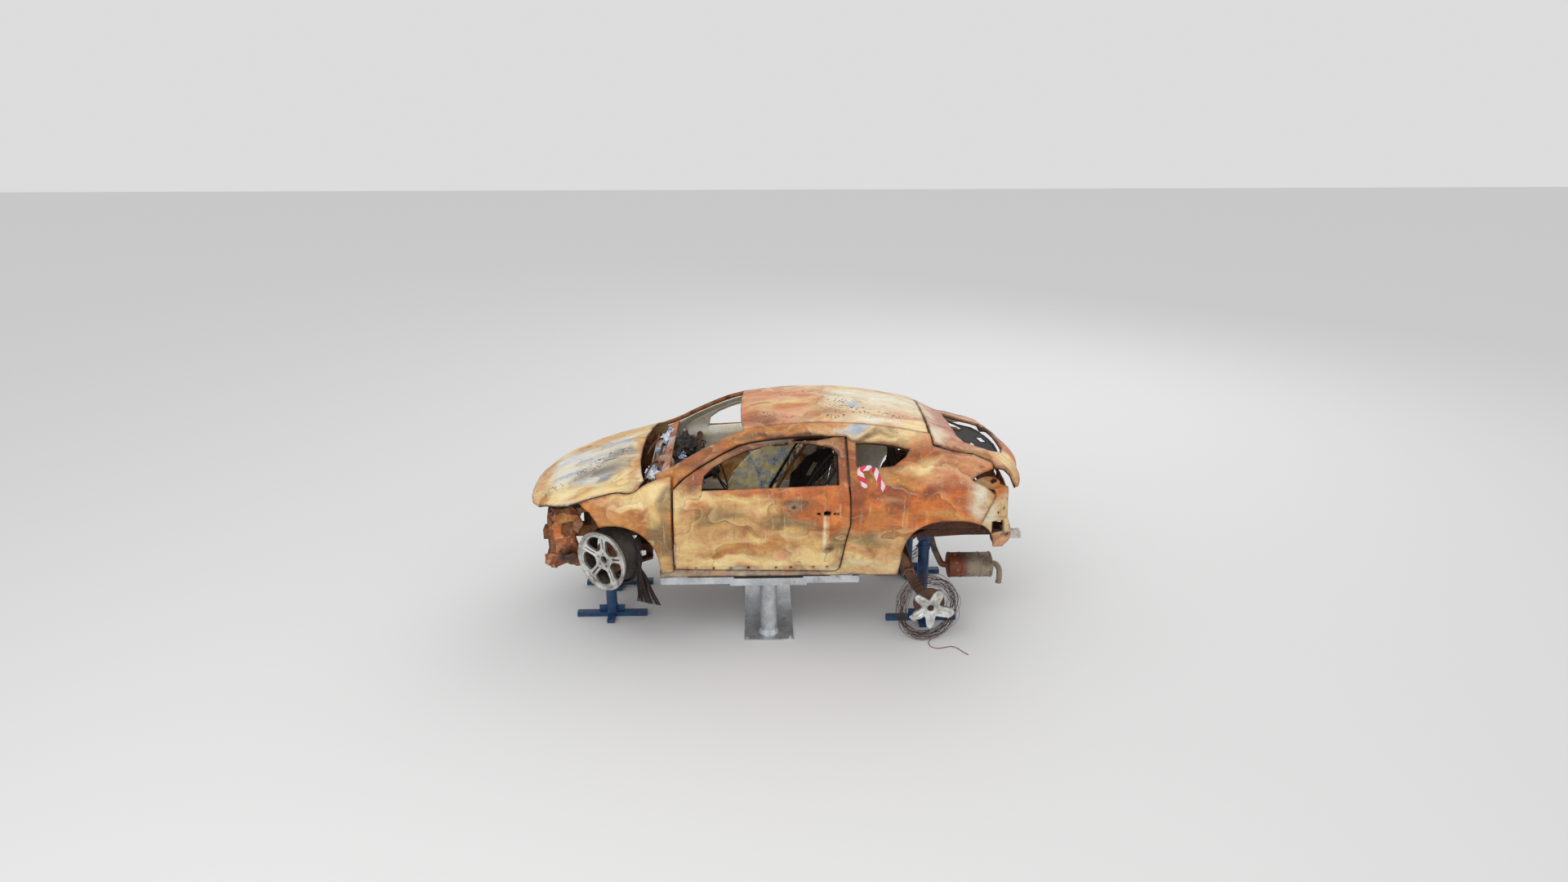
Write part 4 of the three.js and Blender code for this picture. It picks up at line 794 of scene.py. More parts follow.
roof_patches = (
    (-0.26, 0.0, 0.12, 0.50, ORANGE), (-0.10, 0.24, 0.24, 0.24, SALMON),
    (-0.20, -0.35, 0.16, 0.14, (178, 104, 60)), (0.15, 0.20, 0.30, 0.18, SALMON),
    (-0.02, 0.0, 0.20, 0.13, SAND), (0.10, -0.12, 0.16, 0.08, ORANGE), (0.13, -0.28, 0.22, 0.12, SALMON),
    (0.33, -0.11, 0.09, 0.40, OCHRE), (0.52, 0.0, 0.14, 0.34, BONE), (0.46, -0.29, 0.12, 0.12, TAN),
    (0.88, 0.14, 0.44, 0.28, BONE), (0.78, -0.15, 0.40, 0.12, (222, 200, 164)),
    (0.64, 0.40, 0.34, 0.08, SAND), (0.98, -0.30, 0.14, 0.10, SALMON), (1.08, -0.40, 0.14, 0.10, CREAM),
    (0.74, -0.40, 0.22, 0.07, BONE), (0.60, -0.14, 0.05, 0.06, ASH),
)
roof_pits = ((0.42, -0.10, 0.12, 0.30), (0.72, -0.28, 0.30, 0.10), (0.05, 0.25, 0.16, 0.06),
             (-0.14, -0.3, 0.10, 0.10))
skin_roof = burnt("burnt_roof", ((216, 160, 108), (230, 194, 150)), roof_patches, across=True, cracks=0.6,
                  streaks=0.1, pits=roof_pits, flow=0.8)
roof = pressed("roof_skin", roof_outline, [], 16, cross_form(0, roof_relief, seed=31.0), 16)
dress(roof, skin_roof)
settle(roof, "wreck_on_stands", ["roof_panel"])

hatch_edge = [(1204, 1205), (1328, 1170), (1514, 1137), (1655, 1087), (1692, 1044), (1774, 1020),
              (1824, 968), (1846, 904), (1862, 866)]
hatch_tail = [(1898, 485), (1928, 390), (1952, 250), (1968, 110)]


def hatch_side(side):
    """The tailgate's border down one side."""
    x, u = np.array(hatch_edge, float).T
    return across(x, u, side)


tailgate_outline = [
    *hatch_side(-1), *[(x, -w) for x, w in hatch_tail], (1972, 0), *hatch_tail[::-1], *hatch_side(1)[::-1],
    (1190, 0),
]
tailgate_window = [
    (1408, -150), (1424, -380), (1466, -462), (1590, -478), (1700, -466), (1794, -398), (1842, -220),
    (1842, 220), (1794, 398), (1700, 466), (1590, 478), (1466, 462), (1424, 380), (1408, 150),
]


def tailgate_relief(flat):
    """A dent beside the hinge, one at the lock, and the crease under the window."""
    return (dent(flat, 1290, -380, 60, 120, 8) + dent(flat, 1900, 150, 60, 200, 10)
            - 6 * np.exp(-((flat[:, 0] - 1868) / 16) ** 2) * (np.abs(flat[:, 1]) < 560))


tailgate_patches = (
    (1.24, 0.07, 0.10, 0.34, BONE), (1.34, -0.12, 0.12, 0.40, (196, 132, 108)),
    (1.33, -0.52, 0.14, 0.08, (176, 104, 74)), (1.25, -0.46, 0.06, 0.12, BONE),
    (1.46, -0.56, 0.16, 0.08, SALMON), (1.60, -0.60, 0.14, 0.08, SAND), (1.74, -0.56, 0.10, 0.12, ORANGE),
    (1.90, -0.24, 0.10, 0.24, ORANGE), (1.84, -0.52, 0.12, 0.16, CREAM), (1.90, -0.62, 0.08, 0.12, OCHRE),
    (1.92, 0.3, 0.1, 0.3, RUST),
)
skin_tailgate = burnt("burnt_tailgate", ((186, 112, 76), (214, 164, 128)), tailgate_patches, across=True,
                      cracks=0.4, streaks=0.15)
tailgate = pressed("tailgate_skin", tailgate_outline, [tailgate_window], 14,
                   cross_form(0, tailgate_relief, seed=41.0), 26)
hatch_lining = pressed("tailgate_lining", tailgate_outline, [tailgate_window], 26,
                       cross_form(30, seed=42.0), -10)
dress(tailgate, skin_tailgate)
dress(hatch_lining, skin_inside)
trim_outline = [
    (1400, -300), (1440, -470), (1600, -490), (1700, -470), (1800, -400), (1850, -180), (1850, 200),
    (1790, 400), (1640, 480), (1540, 470), (1500, 400), (1560, 330), (1600, 180), (1540, 60), (1460, 20),
    (1430, -120),
]
trim_holes = [[(1700, -120), (1760, -60), (1740, 60), (1680, 20)],
              [(1560, -320), (1620, -300), (1600, -220)]]
trim_form = cross_form(62, seed=43.0, rough=9.0)
hatch_trim = pressed("tailgate_trim", trim_outline, trim_holes, 18, trim_form, -6)
dress(hatch_trim, sooty("charred_trim", ((34, 30, 30), (18, 17, 18)), rust=0.2))
settle(tailgate, "tailgate", ["tailgate"])
for piece in (hatch_lining, hatch_trim):
    settle(piece, "tailgate")

# The doors. An outer skin folded round an inner pressing whose big holes once held the window gear. The
# frame above the belt has sagged away from the roof rail.
DOOR_WALL, DOOR_FRAME_WALL = 105, 38  # the door's thickness below and above the belt
DOOR_GAP = 8


def frame_top(x):
    """The top of the door's frame, which hangs lowest at its middle."""
    x = np.asarray(x, float)
    return rail_z(x) - RAIL_FACE - DOOR_GAP - 26 * rise(x, -330, -120) * (1 - rise(x, 240, 460))


door_top = [(-800, 968), (-762, 1000), (-680, 1052), (-580, 1108), (-470, 1166), (-357, 1212)]
door_outline = [
    (DOOR_FRONT, 236), (410, 206), (446, 232), (486, 470), (522, 640), (520, 850), (504, 985),
    *[(x, float(frame_top([x])[0])) for x in np.linspace(486, -264, 11)], *door_top[::-1], (DOOR_FRONT, 914),
]
door_window = [
    (-640, 908), (436, 950), (430, 1160), (384, 1212), (240, 1236), (96, 1246), (-123, 1226), (-290, 1192),
    (-430, 1138), (-545, 1080), (-622, 1012),
]
handle_holes = [
    [(262, 722), (288, 716), (290, 734), (264, 736)],
    [(318, 716), (366, 716), (372, 742), (342, 750), (316, 740)],
    [(392, 722), (412, 720), (412, 736), (394, 736)], [(420, 722), (434, 720), (434, 734), (421, 735)],
]
handle_holes += [[(x - 7, 238), (x, 232), (x + 7, 238), (x + 6, 248), (x - 6, 248)]
                 for x in (-700, -560, -420, -280, -60, 60, 240, 350)]
door_holes = [
    [(-620, 360), (-240, 330), (-200, 560), (-330, 700), (-600, 680)],
    [(-120, 330), (260, 350), (300, 560), (120, 690), (-110, 660)],
    [(-720, 400), (-670, 400), (-670, 470), (-720, 470)], [(340, 620), (420, 610), (430, 700), (350, 720)],
]


def door_wall(x, u):
    """How far the inner pressing lies inside the outer skin."""
    belt = lines_at(x)[:, 7]
    return DOOR_WALL - (DOOR_WALL - DOOR_FRAME_WALL) * rise(u, belt - 24, belt + 6)


def door_relief(flat):
    """The sill's step, the handle's bowl, and the ripples and ledges of the lifted paint."""
    x, u = flat[:, 0], flat[:, 1]
    step = 6 * rise(u, 262, 250) * (1 - rise(u, 236, 228))
    handle = dent(flat, 342, 742, 70, 24, 12)
    near = np.exp(-((x + 720) / 90) ** 2 - ((u - 790) / 90) ** 2)
    swirl = 5 * np.sin((x + 0.8 * u) / 22 + 2 * np.sin(u / 46)) * near
    ledge = 4 * rise(u + 26 * np.sin(x / 120) + 10 * np.sin(x / 37), 470, 476)
    ledge = ledge * rise(x, -700, -500) * (1 - rise(x, 150, 330))
    ridge = 4 * rise(u + 22 * np.sin(x / 150 + 1), 600, 612) * rise(x, -300, -100)
    ridge = ridge * (1 - rise(x, 380, 480)) * (1 - rise(u, 640, 800))
    return (step + handle + swirl + ledge - ridge
            + dent(flat, -770, 770, 50, 110, 9) - dent(flat, -700, 800, 26, 90, 8)
            + dent(flat, -620, 720, 60, 60, 6) + dent(flat, -350, 560, 320, 60, 5)
            - dent(flat, -300, 640, 300, 40, 4) + dent(flat, 150, 460, 240, 70, 5)
            + dent(flat, -215, 520, 26, 20, 8))


def door_inner(side):
    """The inner pressing narrows towards the rear edge, so that the door swings clear."""
    form = side_form(side, door_wall, seed=52.0 * side)
    return lambda flat: form(flat - np.stack([20 * rise(flat[:, 0], 380, 470), flat[:, 1] * 0], 1))


door_patches = (
    (0.06, 0.885, 0.60, 0.06, (188, 98, 48)), (0.36, 0.80, 0.30, 0.18, ORANGE),
    (0.13, 0.76, 0.12, 0.10, (164, 92, 46)), (0.30, 0.66, 0.18, 0.07, ORANGE),
    (-0.72, 0.84, 0.20, 0.08, CREAM), (-0.66, 0.76, 0.10, 0.10, GOLD), (-0.78, 0.70, 0.05, 0.07, RUST),
    (-0.51, 0.69, 0.16, 0.06, OLIVE), (-0.30, 0.84, 0.20, 0.04, SAND), (0.06, 0.64, 0.24, 0.05, OLIVE),
    (0.07, 0.80, 0.08, 0.04, BROWN), (0.47, 0.47, 0.09, 0.17, OLIVE), (-0.35, 0.31, 0.56, 0.06, CREAM),
    (-0.80, 0.52, 0.10, 0.20, SAND), (-0.55, 0.52, 0.20, 0.08, SAND), (-0.52, 0.39, 0.14, 0.035, GOLD),
    (-0.06, 0.35, 0.07, 0.03, SALMON), (-0.05, 0.52, 0.30, 0.06, SAND),
    (-0.20, 0.205, 1.40, 0.05, (190, 180, 152)), (-0.69, 0.21, 0.26, 0.03, ASH),
    (0.325, 0.53, 0.016, 0.24, (238, 222, 190)), (0.350, 0.47, 0.010, 0.26, SAND),
    (0.37, 0.41, 0.04, 0.05, BROWN), (-0.21, 0.45, 0.30, 0.04, OCHRE), (-0.23, 0.75, 0.16, 0.05, SAND),
    (-0.36, 0.60, 0.30, 0.05, TAN), (0.30, 0.33, 0.16, 0.06, CREAM),
    (-0.10, 1.17, 0.90, 0.17, (128, 74, 46)), (-0.66, 1.02, 0.18, 0.08, RUST),
    (0.50, 1.10, 0.06, 0.18, RUST),
)
for label, side in SIDES:
    outer = pressed("door_skin_" + label, door_outline, [door_window, *handle_holes], 11,
                    side_form(side, 0, door_relief, seed=51.0 * side), 16)
    inner = pressed("door_lining_" + label, door_outline, [door_window, *door_holes], 24,
                    door_inner(side), -22)
    slide = (0.0, 0.0) if side < 0 else (-0.16, -0.05)
    dress(outer, burnt("burnt_door_" + label, ((190, 146, 90), (210, 168, 108)), door_patches, slide=slide,
                       cracks=1.0, streaks=0.3, flow=1.25))
    dress(inner, skin_inside if side < 0 else far_inside)
    settle(outer, "door_" + label, ["door_" + label])
    settle(inner, "door_" + label)

# The tail's corners. The steel plates behind the lost bumper and lamps, spot-welded to the sides: the lamp's
# pocket above, and below it the flat plate with its square vent and its bolt holes, eaten at the bottom.
corner_outline = [
    *rear_arch(3, 8, 56, 10), (1684, 852), (1676, 892), (1606, 924), (1510, 978), (1560, 1000), (1640, 1016),
    (1740, 1004), (1796, 950), (1800, 860), (1794, 760), (1792, 650), (1822, 572), (1858, 447), (1846, 385),
    (1790, 345),
]
corner_holes = [
    [(1664, 514), (1776, 512), (1758, 632), (1658, 630)],
    [(1800, 470), (1812, 460), (1822, 472), (1814, 486), (1802, 484)],
    [(1700, 700), (1710, 694), (1716, 706), (1706, 714)],
    [(1752, 730), (1762, 724), (1768, 738), (1756, 744)],
    [(1700, 940), (1752, 946), (1762, 966), (1712, 984), (1680, 966)],
]
corner_patches = (
    (1.62, 0.76, 0.09, 0.10, BONE), (1.70, 0.90, 0.12, 0.05, ORANGE), (1.76, 0.41, 0.12, 0.06, SALMON),
    (1.76, 0.47, 0.03, 0.03, BROWN), (1.72, 0.66, 0.10, 0.05, SAND), (1.70, 0.97, 0.12, 0.04, BROWN),
    (1.58, 0.88, 0.10, 0.04, TAN),
)
for label, side in SIDES:
    corner = pressed("tail_corner_skin_" + label, corner_outline, corner_holes, 9,
                     side_form(side, lambda x, u: 20 + 84 * rise(u, 890, 925), seed=61.0 * side), 10)
    slide = (0.0, 0.0) if side < 0 else (-0.04, 0.06)
    dress(corner, burnt("burnt_corner_" + label, (TAN, (226, 200, 158)), corner_patches, slide=slide,
                        cracks=0.5))
    settle(corner, "wreck_on_stands", ["tail_corner_" + label])

# The floor and the wheelhouses. Pressed sheet and box sections under the car, whose underseal has burnt
# off and left dull rust, with grey dirt thrown up by the wheels.
underside = sooty("burnt_underside", ((104, 62, 42), (62, 46, 38)), rust=0.8)
for name in ("floor_pan", "boot_floor", "wheelhouse_left", "wheelhouse_right"):
    dress(nodes[name], underside, 40)


def spot(x, y, z):
    """A place in the car, in millimetres, as metres in the row's frame."""
    return Vector((x / 1000 + SHIFT, y / 1000, z / 1000 + ROAD))


def chamfered(piece, width, segments=2):
    """Puts an object's place into its mesh, and rounds its sharp edges by width millimetres."""
    bpy.ops.object.transform_apply(location=True, rotation=True, scale=True)
    if width:
        bevel = piece.modifiers.new("chamfer", "BEVEL")
        bevel.width = width / 1000
        bevel.segments = segments
        bevel.limit_method = "ANGLE"
        bevel.angle_limit = 0.7
        bpy.ops.object.modifier_apply(modifier=bevel.name)
    return piece


def bar(start, end, radius, end_radius=None, sides=24, chamfer=2.0):
    """A round bar from one place to another, in the car's millimetres."""
    a, b = spot(*start), spot(*end)
    bpy.ops.object.select_all(action="DESELECT")
    bpy.ops.mesh.primitive_cone_add(vertices=sides, radius1=radius / 1000,
                                    radius2=(end_radius or radius) / 1000,
                                    depth=(b - a).length, location=(a + b) / 2,
                                    rotation=(b - a).to_track_quat("Z", "Y").to_euler())
    return chamfered(bpy.context.object, chamfer)


def block(x0, x1, y0, y1, z0, z1, chamfer=4.0):
    """A box with rounded edges, in the car's millimetres."""
    bpy.ops.object.select_all(action="DESELECT")
    bpy.ops.mesh.primitive_cube_add(size=1, location=spot((x0 + x1) / 2, (y0 + y1) / 2, (z0 + z1) / 2))
    bpy.context.object.scale = (abs(x1 - x0) / 1000, abs(y1 - y0) / 1000, abs(z1 - z0) / 1000)
    return chamfered(bpy.context.object, chamfer)


def through(points, steps=8):
    """A smooth line through places, with steps points to each stretch."""
    p = np.array([points[0], *points, points[-1]], float)
    line = []
    for a, b, c, d in zip(p, p[1:], p[2:], p[3:]):
        for t in np.arange(steps) / steps:
            square, cube = 2 * a - 5 * b + 4 * c - d, 3 * b - a - 3 * c + d
            line.append(0.5 * (2 * b + (c - a) * t + square * t * t + cube * t ** 3))
    return [*line, p[-1]]


def pipe(line, radius, sides=12, closed=False, taper=None):
    """A pipe or wire straight from place to place along a line, in the car's millimetres."""
    curve = bpy.data.curves.new("pipe", "CURVE")
    curve.dimensions = "3D"
    curve.bevel_depth = radius / 1000
    curve.bevel_resolution = max(sides // 4 - 1, 0)
    curve.use_fill_caps = not closed
    spline = curve.splines.new("POLY")
    spline.points.add(len(line) - 1)
    for k, (point, place) in enumerate(zip(spline.points, line)):
        point.co = (*spot(*place), 1)
        point.radius = taper(k / (len(line) - 1)) if taper else 1
    spline.use_cyclic_u = closed
    piece = bpy.data.objects.new("pipe", curve)
    scene.collection.objects.link(piece)
    pick(piece)
    bpy.ops.object.convert(target="MESH")
    return bpy.context.object


def bent(points, radius, sides=12, taper=None, steps=8):
    """A pipe or wire along a smooth line through places in the car's millimetres."""
    return pipe(through(points, steps), radius, sides, taper=taper)


def turned(profile, place, steps):
    """A ring or pot turned about the y axis from its closed profile (radius, y), in millimetres, and then
    set where place(points) puts it."""
    mesh = bpy.data.meshes.new("turned")
    count = len(profile)
    mesh.from_pydata([(r / 1000, y / 1000, 0) for r, y in profile],
                     [(k, (k + 1) % count) for k in range(count)], [])
    piece = bpy.data.objects.new("turned", mesh)
    scene.collection.objects.link(piece)
    pick(piece)
    bpy.ops.object.mode_set(mode="EDIT")
    bpy.ops.mesh.select_all(action="SELECT")
    bpy.ops.mesh.spin(steps=steps, angle=math.tau, center=(0, 0, 0), axis=(0, 1, 0))
    bpy.ops.mesh.select_all(action="SELECT")
    bpy.ops.mesh.remove_doubles(threshold=0.00005)
    bpy.ops.mesh.normals_make_consistent(inside=False)
    bpy.ops.object.mode_set(mode="OBJECT")
    points = place(np.array([v.co for v in mesh.vertices]) * 1000)
    for vertex, point in zip(mesh.vertices, points):
        vertex.co = spot(*point)
    bpy.ops.object.mode_set(mode="EDIT")
    bpy.ops.mesh.select_all(action="SELECT")
    bpy.ops.mesh.normals_make_consistent(inside=False)
    bpy.ops.object.mode_set(mode="OBJECT")
    return piece


def lump(centre, radii, seed, rough=0.45, detail=4):
    """A charred or ashen lump round a place in the car, in millimetres."""
    bpy.ops.object.select_all(action="DESELECT")
    bpy.ops.mesh.primitive_ico_sphere_add(subdivisions=detail, radius=1, location=(0, 0, 0))
    piece = bpy.context.object
    for vertex in piece.data.vertices:
        push = 1 + rough * noise.fractal(vertex.co * 1.7 + Vector((seed, 0, seed)), 0.7, 2.2, 4)
        vertex.co = spot(*(np.array(centre) + np.array(radii) * vertex.co * push))
    return piece


INLAND = 99.0  # millimetres; what a piece without a pressed border keeps as its distance from one


def weld(name, pieces, material, body="wreck_on_stands", stands_for=(), smooth=38):
    """Joins pieces into one, named, finished and on its body, in place of the CAD nodes it stands for."""
    bpy.ops.object.select_all(action="DESELECT")
    for piece in pieces:
        if "edge" not in piece.data.attributes:
            inland = piece.data.attributes.new("edge", "FLOAT", "POINT")
            inland.data.foreach_set("value", [INLAND] * len(inland.data))
        piece.select_set(True)
    bpy.context.view_layer.objects.active = pieces[0]
    if len(pieces) > 1:
        bpy.ops.object.join()
    piece = bpy.context.object
    piece.name = name
    dress(piece, material, smooth)
    settle(piece, body, stands_for)
    return piece


drains = []
for side in (-1, 1):
    for x in (-560, -160, 240, 560):
        drains.append(bar((x, side * 520, 203), (x, side * 520, 224), 26, 22, chamfer=4))
    drains.append(bent([(-840, side * 610, 312), (-300, side * 600, 226), (300, side * 604, 222),
                        (640, side * 590, 228)], 7))
weld("floor_plugs", drains, underside)

# The bulkhead and the trough before the windscreen. Spot-welded sheet with the brake servo, the wiper
# arms and what melted down on it: white and blue ash of alloy and filler, and black burnt plastic.
dress(nodes["bulkhead"], burnt("burnt_bulkhead", (RUST, ORANGE), (
    (-0.96, 0.93, 0.10, 0.05, ASH), (-1.02, 0.84, 0.06, 0.05, BONE), (-0.94, 0.60, 0.10, 0.20, BROWN),
), cracks=0.5, edged=False), 40)
charred = sooty("charred_plastic", ((44, 38, 36), (24, 22, 22)), rust=0.25)


def ashen(name, pale=(226, 230, 234), blue=(132, 156, 190)):
    """Caked ash of two tones, with rust coming through."""
    f = Finish(name, 0.85)
    cloud, grain = f.noise(9.0, 6, 0.65), f.noise(60.0, 5, 0.7)
    colour = f.mix(cloud.step(0.44, 0.62), pale, blue)
    colour = f.mix((grain + (cloud - 0.5) * 0.5).step(0.54, 0.68, 0.8), colour, (120, 88, 62))
    return f.wear(colour, grain * 0.3 + 0.6, grain + cloud * 0.4, 0.003)


def on_bulkhead(p):
    """A pot turned about y, set leaning up and out of the trough."""
    way = np.array(Vector((-0.30, -0.78, 0.55)).normalized())
    level = np.cross(way, (0, 0, 1))
    level /= np.linalg.norm(level)
    leaning = p[:, :1] * level + p[:, 1:2] * way + p[:, 2:] * np.cross(level, way)
    return np.array((-962, -330, 950)) + 0.72 * leaning


ash = ashen("white_ash")
servo = turned([(28, -60), (96, -58), (112, -40), (116, -20), (118, 0), (112, 22), (92, 36), (60, 44),
                (34, 46), (28, 60), (22, 46), (22, -50)], on_bulkhead, 40)
weld("brake_servo", [servo, bar((-960, -326, 946), (-940, -290, 900), 40),
                     bar((-1086, -432, 900), (-1086, -432, 950), 22, 18)],
     sooty("servo_rust", ((186, 152, 130), (128, 92, 72)), 0.3))
wiper = [bent([(-1010, 520, 905), (-1016, 100, 935), (-1014, -300, 930), (-1004, -560, 900)], 11),
         bar((-1010, -300, 905), (-1006, -300, 962), 16), bar((-1012, 240, 905), (-1008, 240, 968), 16),
         bent([(-1006, -300, 962), (-1040, -380, 986), (-1078, -520, 972), (-1092, -640, 940)], 9,
              taper=lambda t: 1.2 - 0.6 * t),
         bent([(-1008, 240, 968), (-1050, 130, 996), (-1090, -60, 998), (-1108, -200, 992)], 9,
              taper=lambda t: 1.2 - 0.6 * t)]
weld("wiper_linkage", wiper, sooty("wiper_rust", (BROWN, SOOT), 0.7))
heap = [lump((-1062, -456, 930), (44, 96, 34), 2.0, 0.6), lump((-1030, -540, 950), (40, 60, 26), 5.0, 0.6),
        lump((-1050, -360, 920), (30, 60, 24), 8.0, 0.7), lump((-990, 270, 960), (34, 130, 26), 11.0, 0.7),
        lump((-960, 430, 975), (26, 80, 20), 14.0, 0.7), lump((-1040, 90, 915), (30, 70, 18), 17.0, 0.7)]
weld("trough_ash", heap, ash)
black = [lump((-860, -190, 950), (70, 130, 62), 4.0, 0.8), lump((-800, -40, 985), (70, 110, 60), 9.0, 0.9),
         lump((-840, 150, 960), (60, 140, 55), 15.0, 0.8), lump((-745, -130, 1010), (46, 60, 40), 21.0, 1.0),
         lump((-760, 70, 1000), (40, 60, 36), 25.0, 1.0)]
for k in range(14):
    y = -330 + 34 * k
    black.append(bent([(-880, y, 940), (-830 + 8 * (k % 4), y + 22, 990 + 10 * (k % 3)),
                       (-770 + 17 * (k % 3), y + 30 * (k % 2), 1010 + 16 * (k % 4))], 5, 8))
weld("burnt_wiring", black, charred)
weld("wiring_ash", [lump((-815, -300 + 90 * k, 1000 - 9 * k), (26, 32, 20), 31.0 + k, 0.6, 3)
                    for k in range(5)], ash)

# The front end. Box-section chassis legs with their strut towers, the frame of the radiator, and the thin
# sheet of the lamp mounts, which the heat and a push have crumpled into folds.
rusted = sooty("rusted_steel", ((152, 96, 56), (86, 60, 46)), rust=0.8)
for name in ("chassis_leg_left", "chassis_leg_right", "front_frame", "tail_panel"):
    dress(nodes[name], rusted, 40)
scrap_patches = (
    (-1.80, 0.50, 0.10, 0.10, ORANGE), (-1.84, 0.30, 0.08, 0.08, SALMON), (-1.70, 0.62, 0.10, 0.06, OCHRE),
    (-1.74, 0.24, 0.10, 0.05, SOOT),
)
skin_scrap = burnt("burnt_scrap", (RUST, BROWN), scrap_patches, cracks=0.8)


def crumpled(outline, place, seed, rough, holes=()):
    """A scrap of thin sheet, folded at random over place(x, z), which gives its middle surface."""
    def form(flat):
        points, normals = place(flat[:, 0], flat[:, 1])
        fold = waves(points, 0.013, rough, seed, 3) + waves(points, 0.05, rough * 0.3, seed + 3, 2)
        return points + normals * fold[:, None], normals
    return pressed("scrap", outline, list(holes), 9, form, 5, gauge=1.4)


for label, side in SIDES:
    def lamp_mount(x, z, out):
        """The crumpled upright sheet beside the wheel's front, moved outboard by out millimetres."""
        y = 582 + out + 16 * np.sin(x / 38 + z / 90) + 12 * np.sin(z / 46) - 0.1 * (x + 1780)
        return np.stack([x, side * y, z], 1), np.stack([x * 0, side + x * 0, x * 0], 1)

    scraps = [crumpled([(-1866, 690), (-1826, 612), (-1846, 560), (-1884, 508), (-1868, 383), (-1908, 258),
                        (-1868, 186), (-1776, 214), (-1668, 196), (-1650, 300), (-1692, 420), (-1660, 540),
                        (-1636, 640), (-1690, 698), (-1770, 668)], lambda x, z: lamp_mount(x, z, 0),
                       5.0 * side, 16,
                       holes=[[(-1790, 450), (-1740, 440), (-1730, 520), (-1780, 540)],
                              [(-1830, 280), (-1800, 270), (-1796, 330)]]),
              crumpled([(-1930, 300), (-1820, 268), (-1700, 300), (-1640, 250), (-1650, 170), (-1760, 196),
                        (-1850, 160), (-1936, 210)], lambda x, z: lamp_mount(x, z, 34), 9.0 * side, 26),
              crumpled([(-1860, 640), (-1760, 660), (-1640, 640), (-1600, 560), (-1650, 470), (-1700, 500),
                        (-1690, 570), (-1800, 560)], lambda x, z: lamp_mount(x, z, 52), 13.0 * side, 24)]
    weld("lamp_mount_scrap_" + label, scraps, skin_scrap, smooth=None)
beam = [bent([(-1912, -560, 250), (-1930, -300, 240), (-1938, 0, 246), (-1926, 320, 236), (-1908, 570, 262)],
             20, 16),
        bent([(-1880, -560, 600), (-1920, -380, 560), (-1926, 0, 548), (-1918, 360, 556), (-1884, 560, 590)],
             14, 12)]
for y in (-430, -210, 60, 260, 470):
    beam.append(bent([(-1928, y, 246), (-1934, y + 12, 360), (-1926, y - 14, 470), (-1924, y, 552)], 8, 8))
weld("grille_bars", beam, rusted)


def finned():
    """A radiator's core: fine level fins as pale bands, with dark bands of painted shade in the gaps between
    them, and soot over them.
    """
    f = Finish("burnt_fins", 0.6, 0.5)
    rows = f.vector("MULTIPLY", f.place, (0, 0, 1))
    fins = f.add("ShaderNodeTexWave", {"wave_type": "BANDS", "bands_direction": "Z"},
                 {"Vector": rows, "Scale": 42.0})
    soot = f.noise(7.0, 6, 0.66)
    # the pale bands are the fins themselves, the dark bands painted shade in the gaps between them
    colour = f.mix(fins.step(0.2, 0.7), (70, 58, 50), (172, 160, 146))
    colour = f.mix(soot.step(0.46, 0.62, 0.85), colour, (96, 58, 38))
    return f.wear(colour, soot * 0.3 + 0.45, fins, 0.003)


dress(nodes["radiator"], finned())
tanks = [block(-1846, -1784, -428, -402, 206, 604, 10), block(-1846, -1784, 402, 428, 206, 604, 10),
         bent([(-1815, -414, 560), (-1740, -420, 590), (-1660, -360, 640)], 20),
         bent([(-1815, 414, 260), (-1730, 420, 270), (-1650, 380, 330)], 20)]
weld("radiator_tanks", tanks, sooty("tank_alloy", ((150, 146, 140), (96, 84, 74)), 0.4))

# The engine and gearbox. A cast-iron block and an alloy head that has slumped and blackened, with its
# manifolds, pulleys and the gearbox on its right end.
cast = sooty("burnt_casting", ((112, 88, 70), (66, 52, 44)), rust=0.8)
engine = [block(-1650, -1240, -272, 272, 334, 560, 14), block(-1616, -1270, -262, 262, 556, 650, 10),
          block(-1560, -1320, -246, 246, 646, 704, 18),
          bar((-1430, 250, 420), (-1430, 330, 420), 130, 118, 40, 6),
          bar((-1430, 328, 420), (-1430, 414, 420), 92, 60, 32, 6),
          block(-1560, -1290, 260, 330, 336, 530, 16)]
for k in range(9):
    y = -240 + 60 * k
    engine += [block(-1664, -1226, y - 6, y + 6, 350, 548, 3),
               bar((-1540 + 20 * (k % 2), y, 700), (-1540 + 20 * (k % 2), y, 712), 11, sides=6)]
for k in range(4):
    y = -190 + 126 * k
    engine += [bent([(-1600, y, 600), (-1650, y, 640), (-1690, y, 600), (-1694, y, 520)], 22, 16),
               bent([(-1280, y, 590), (-1222, y, 570), (-1200, y * 0.6, 480), (-1190, y * 0.3, 390)],
                    18, 16),
               bar((-1440, y, 702), (-1440, y, 718), 30, 26)]
for x, z, r in ((-1440, 420, 78), (-1570, 540, 52), (-1330, 520, 44), (-1560, 400, 38)):
    engine.append(turned([(0.01, -9), (r, -9), (r, -5), (r - 7, 0), (r, 5), (r, 9), (r * 0.6, 9),
                          (r * 0.5, 3), (0.01, 3)],
                         lambda p, x=x, z=z: np.stack([x + p[:, 0], -284 + p[:, 1], z + p[:, 2]], 1), 40))
weld("engine", engine, cast, stands_for=("engine_block",))
weld("engine_ash", [lump((-1500 + 90 * (k % 3), -230 + 66 * k, 716), (60, 42, 9), 51.0 + k, 0.6, 3)
                    for k in range(8)], ash)

# The front suspension and brakes. A welded subframe and arms, cast knuckles, and struts whose springs
# are still on; all of it plain rust, with scale where the grease has burnt.
scale_rust = sooty("scaled_rust", ((118, 70, 46), (74, 50, 40)), rust=0.9)
dress(nodes["subframe"], scale_rust, 40)
BALL, STRUT_TOP = np.array((-1335, 715, 185)), np.array((-1302, 598, 822))
STEER = math.radians(-36)


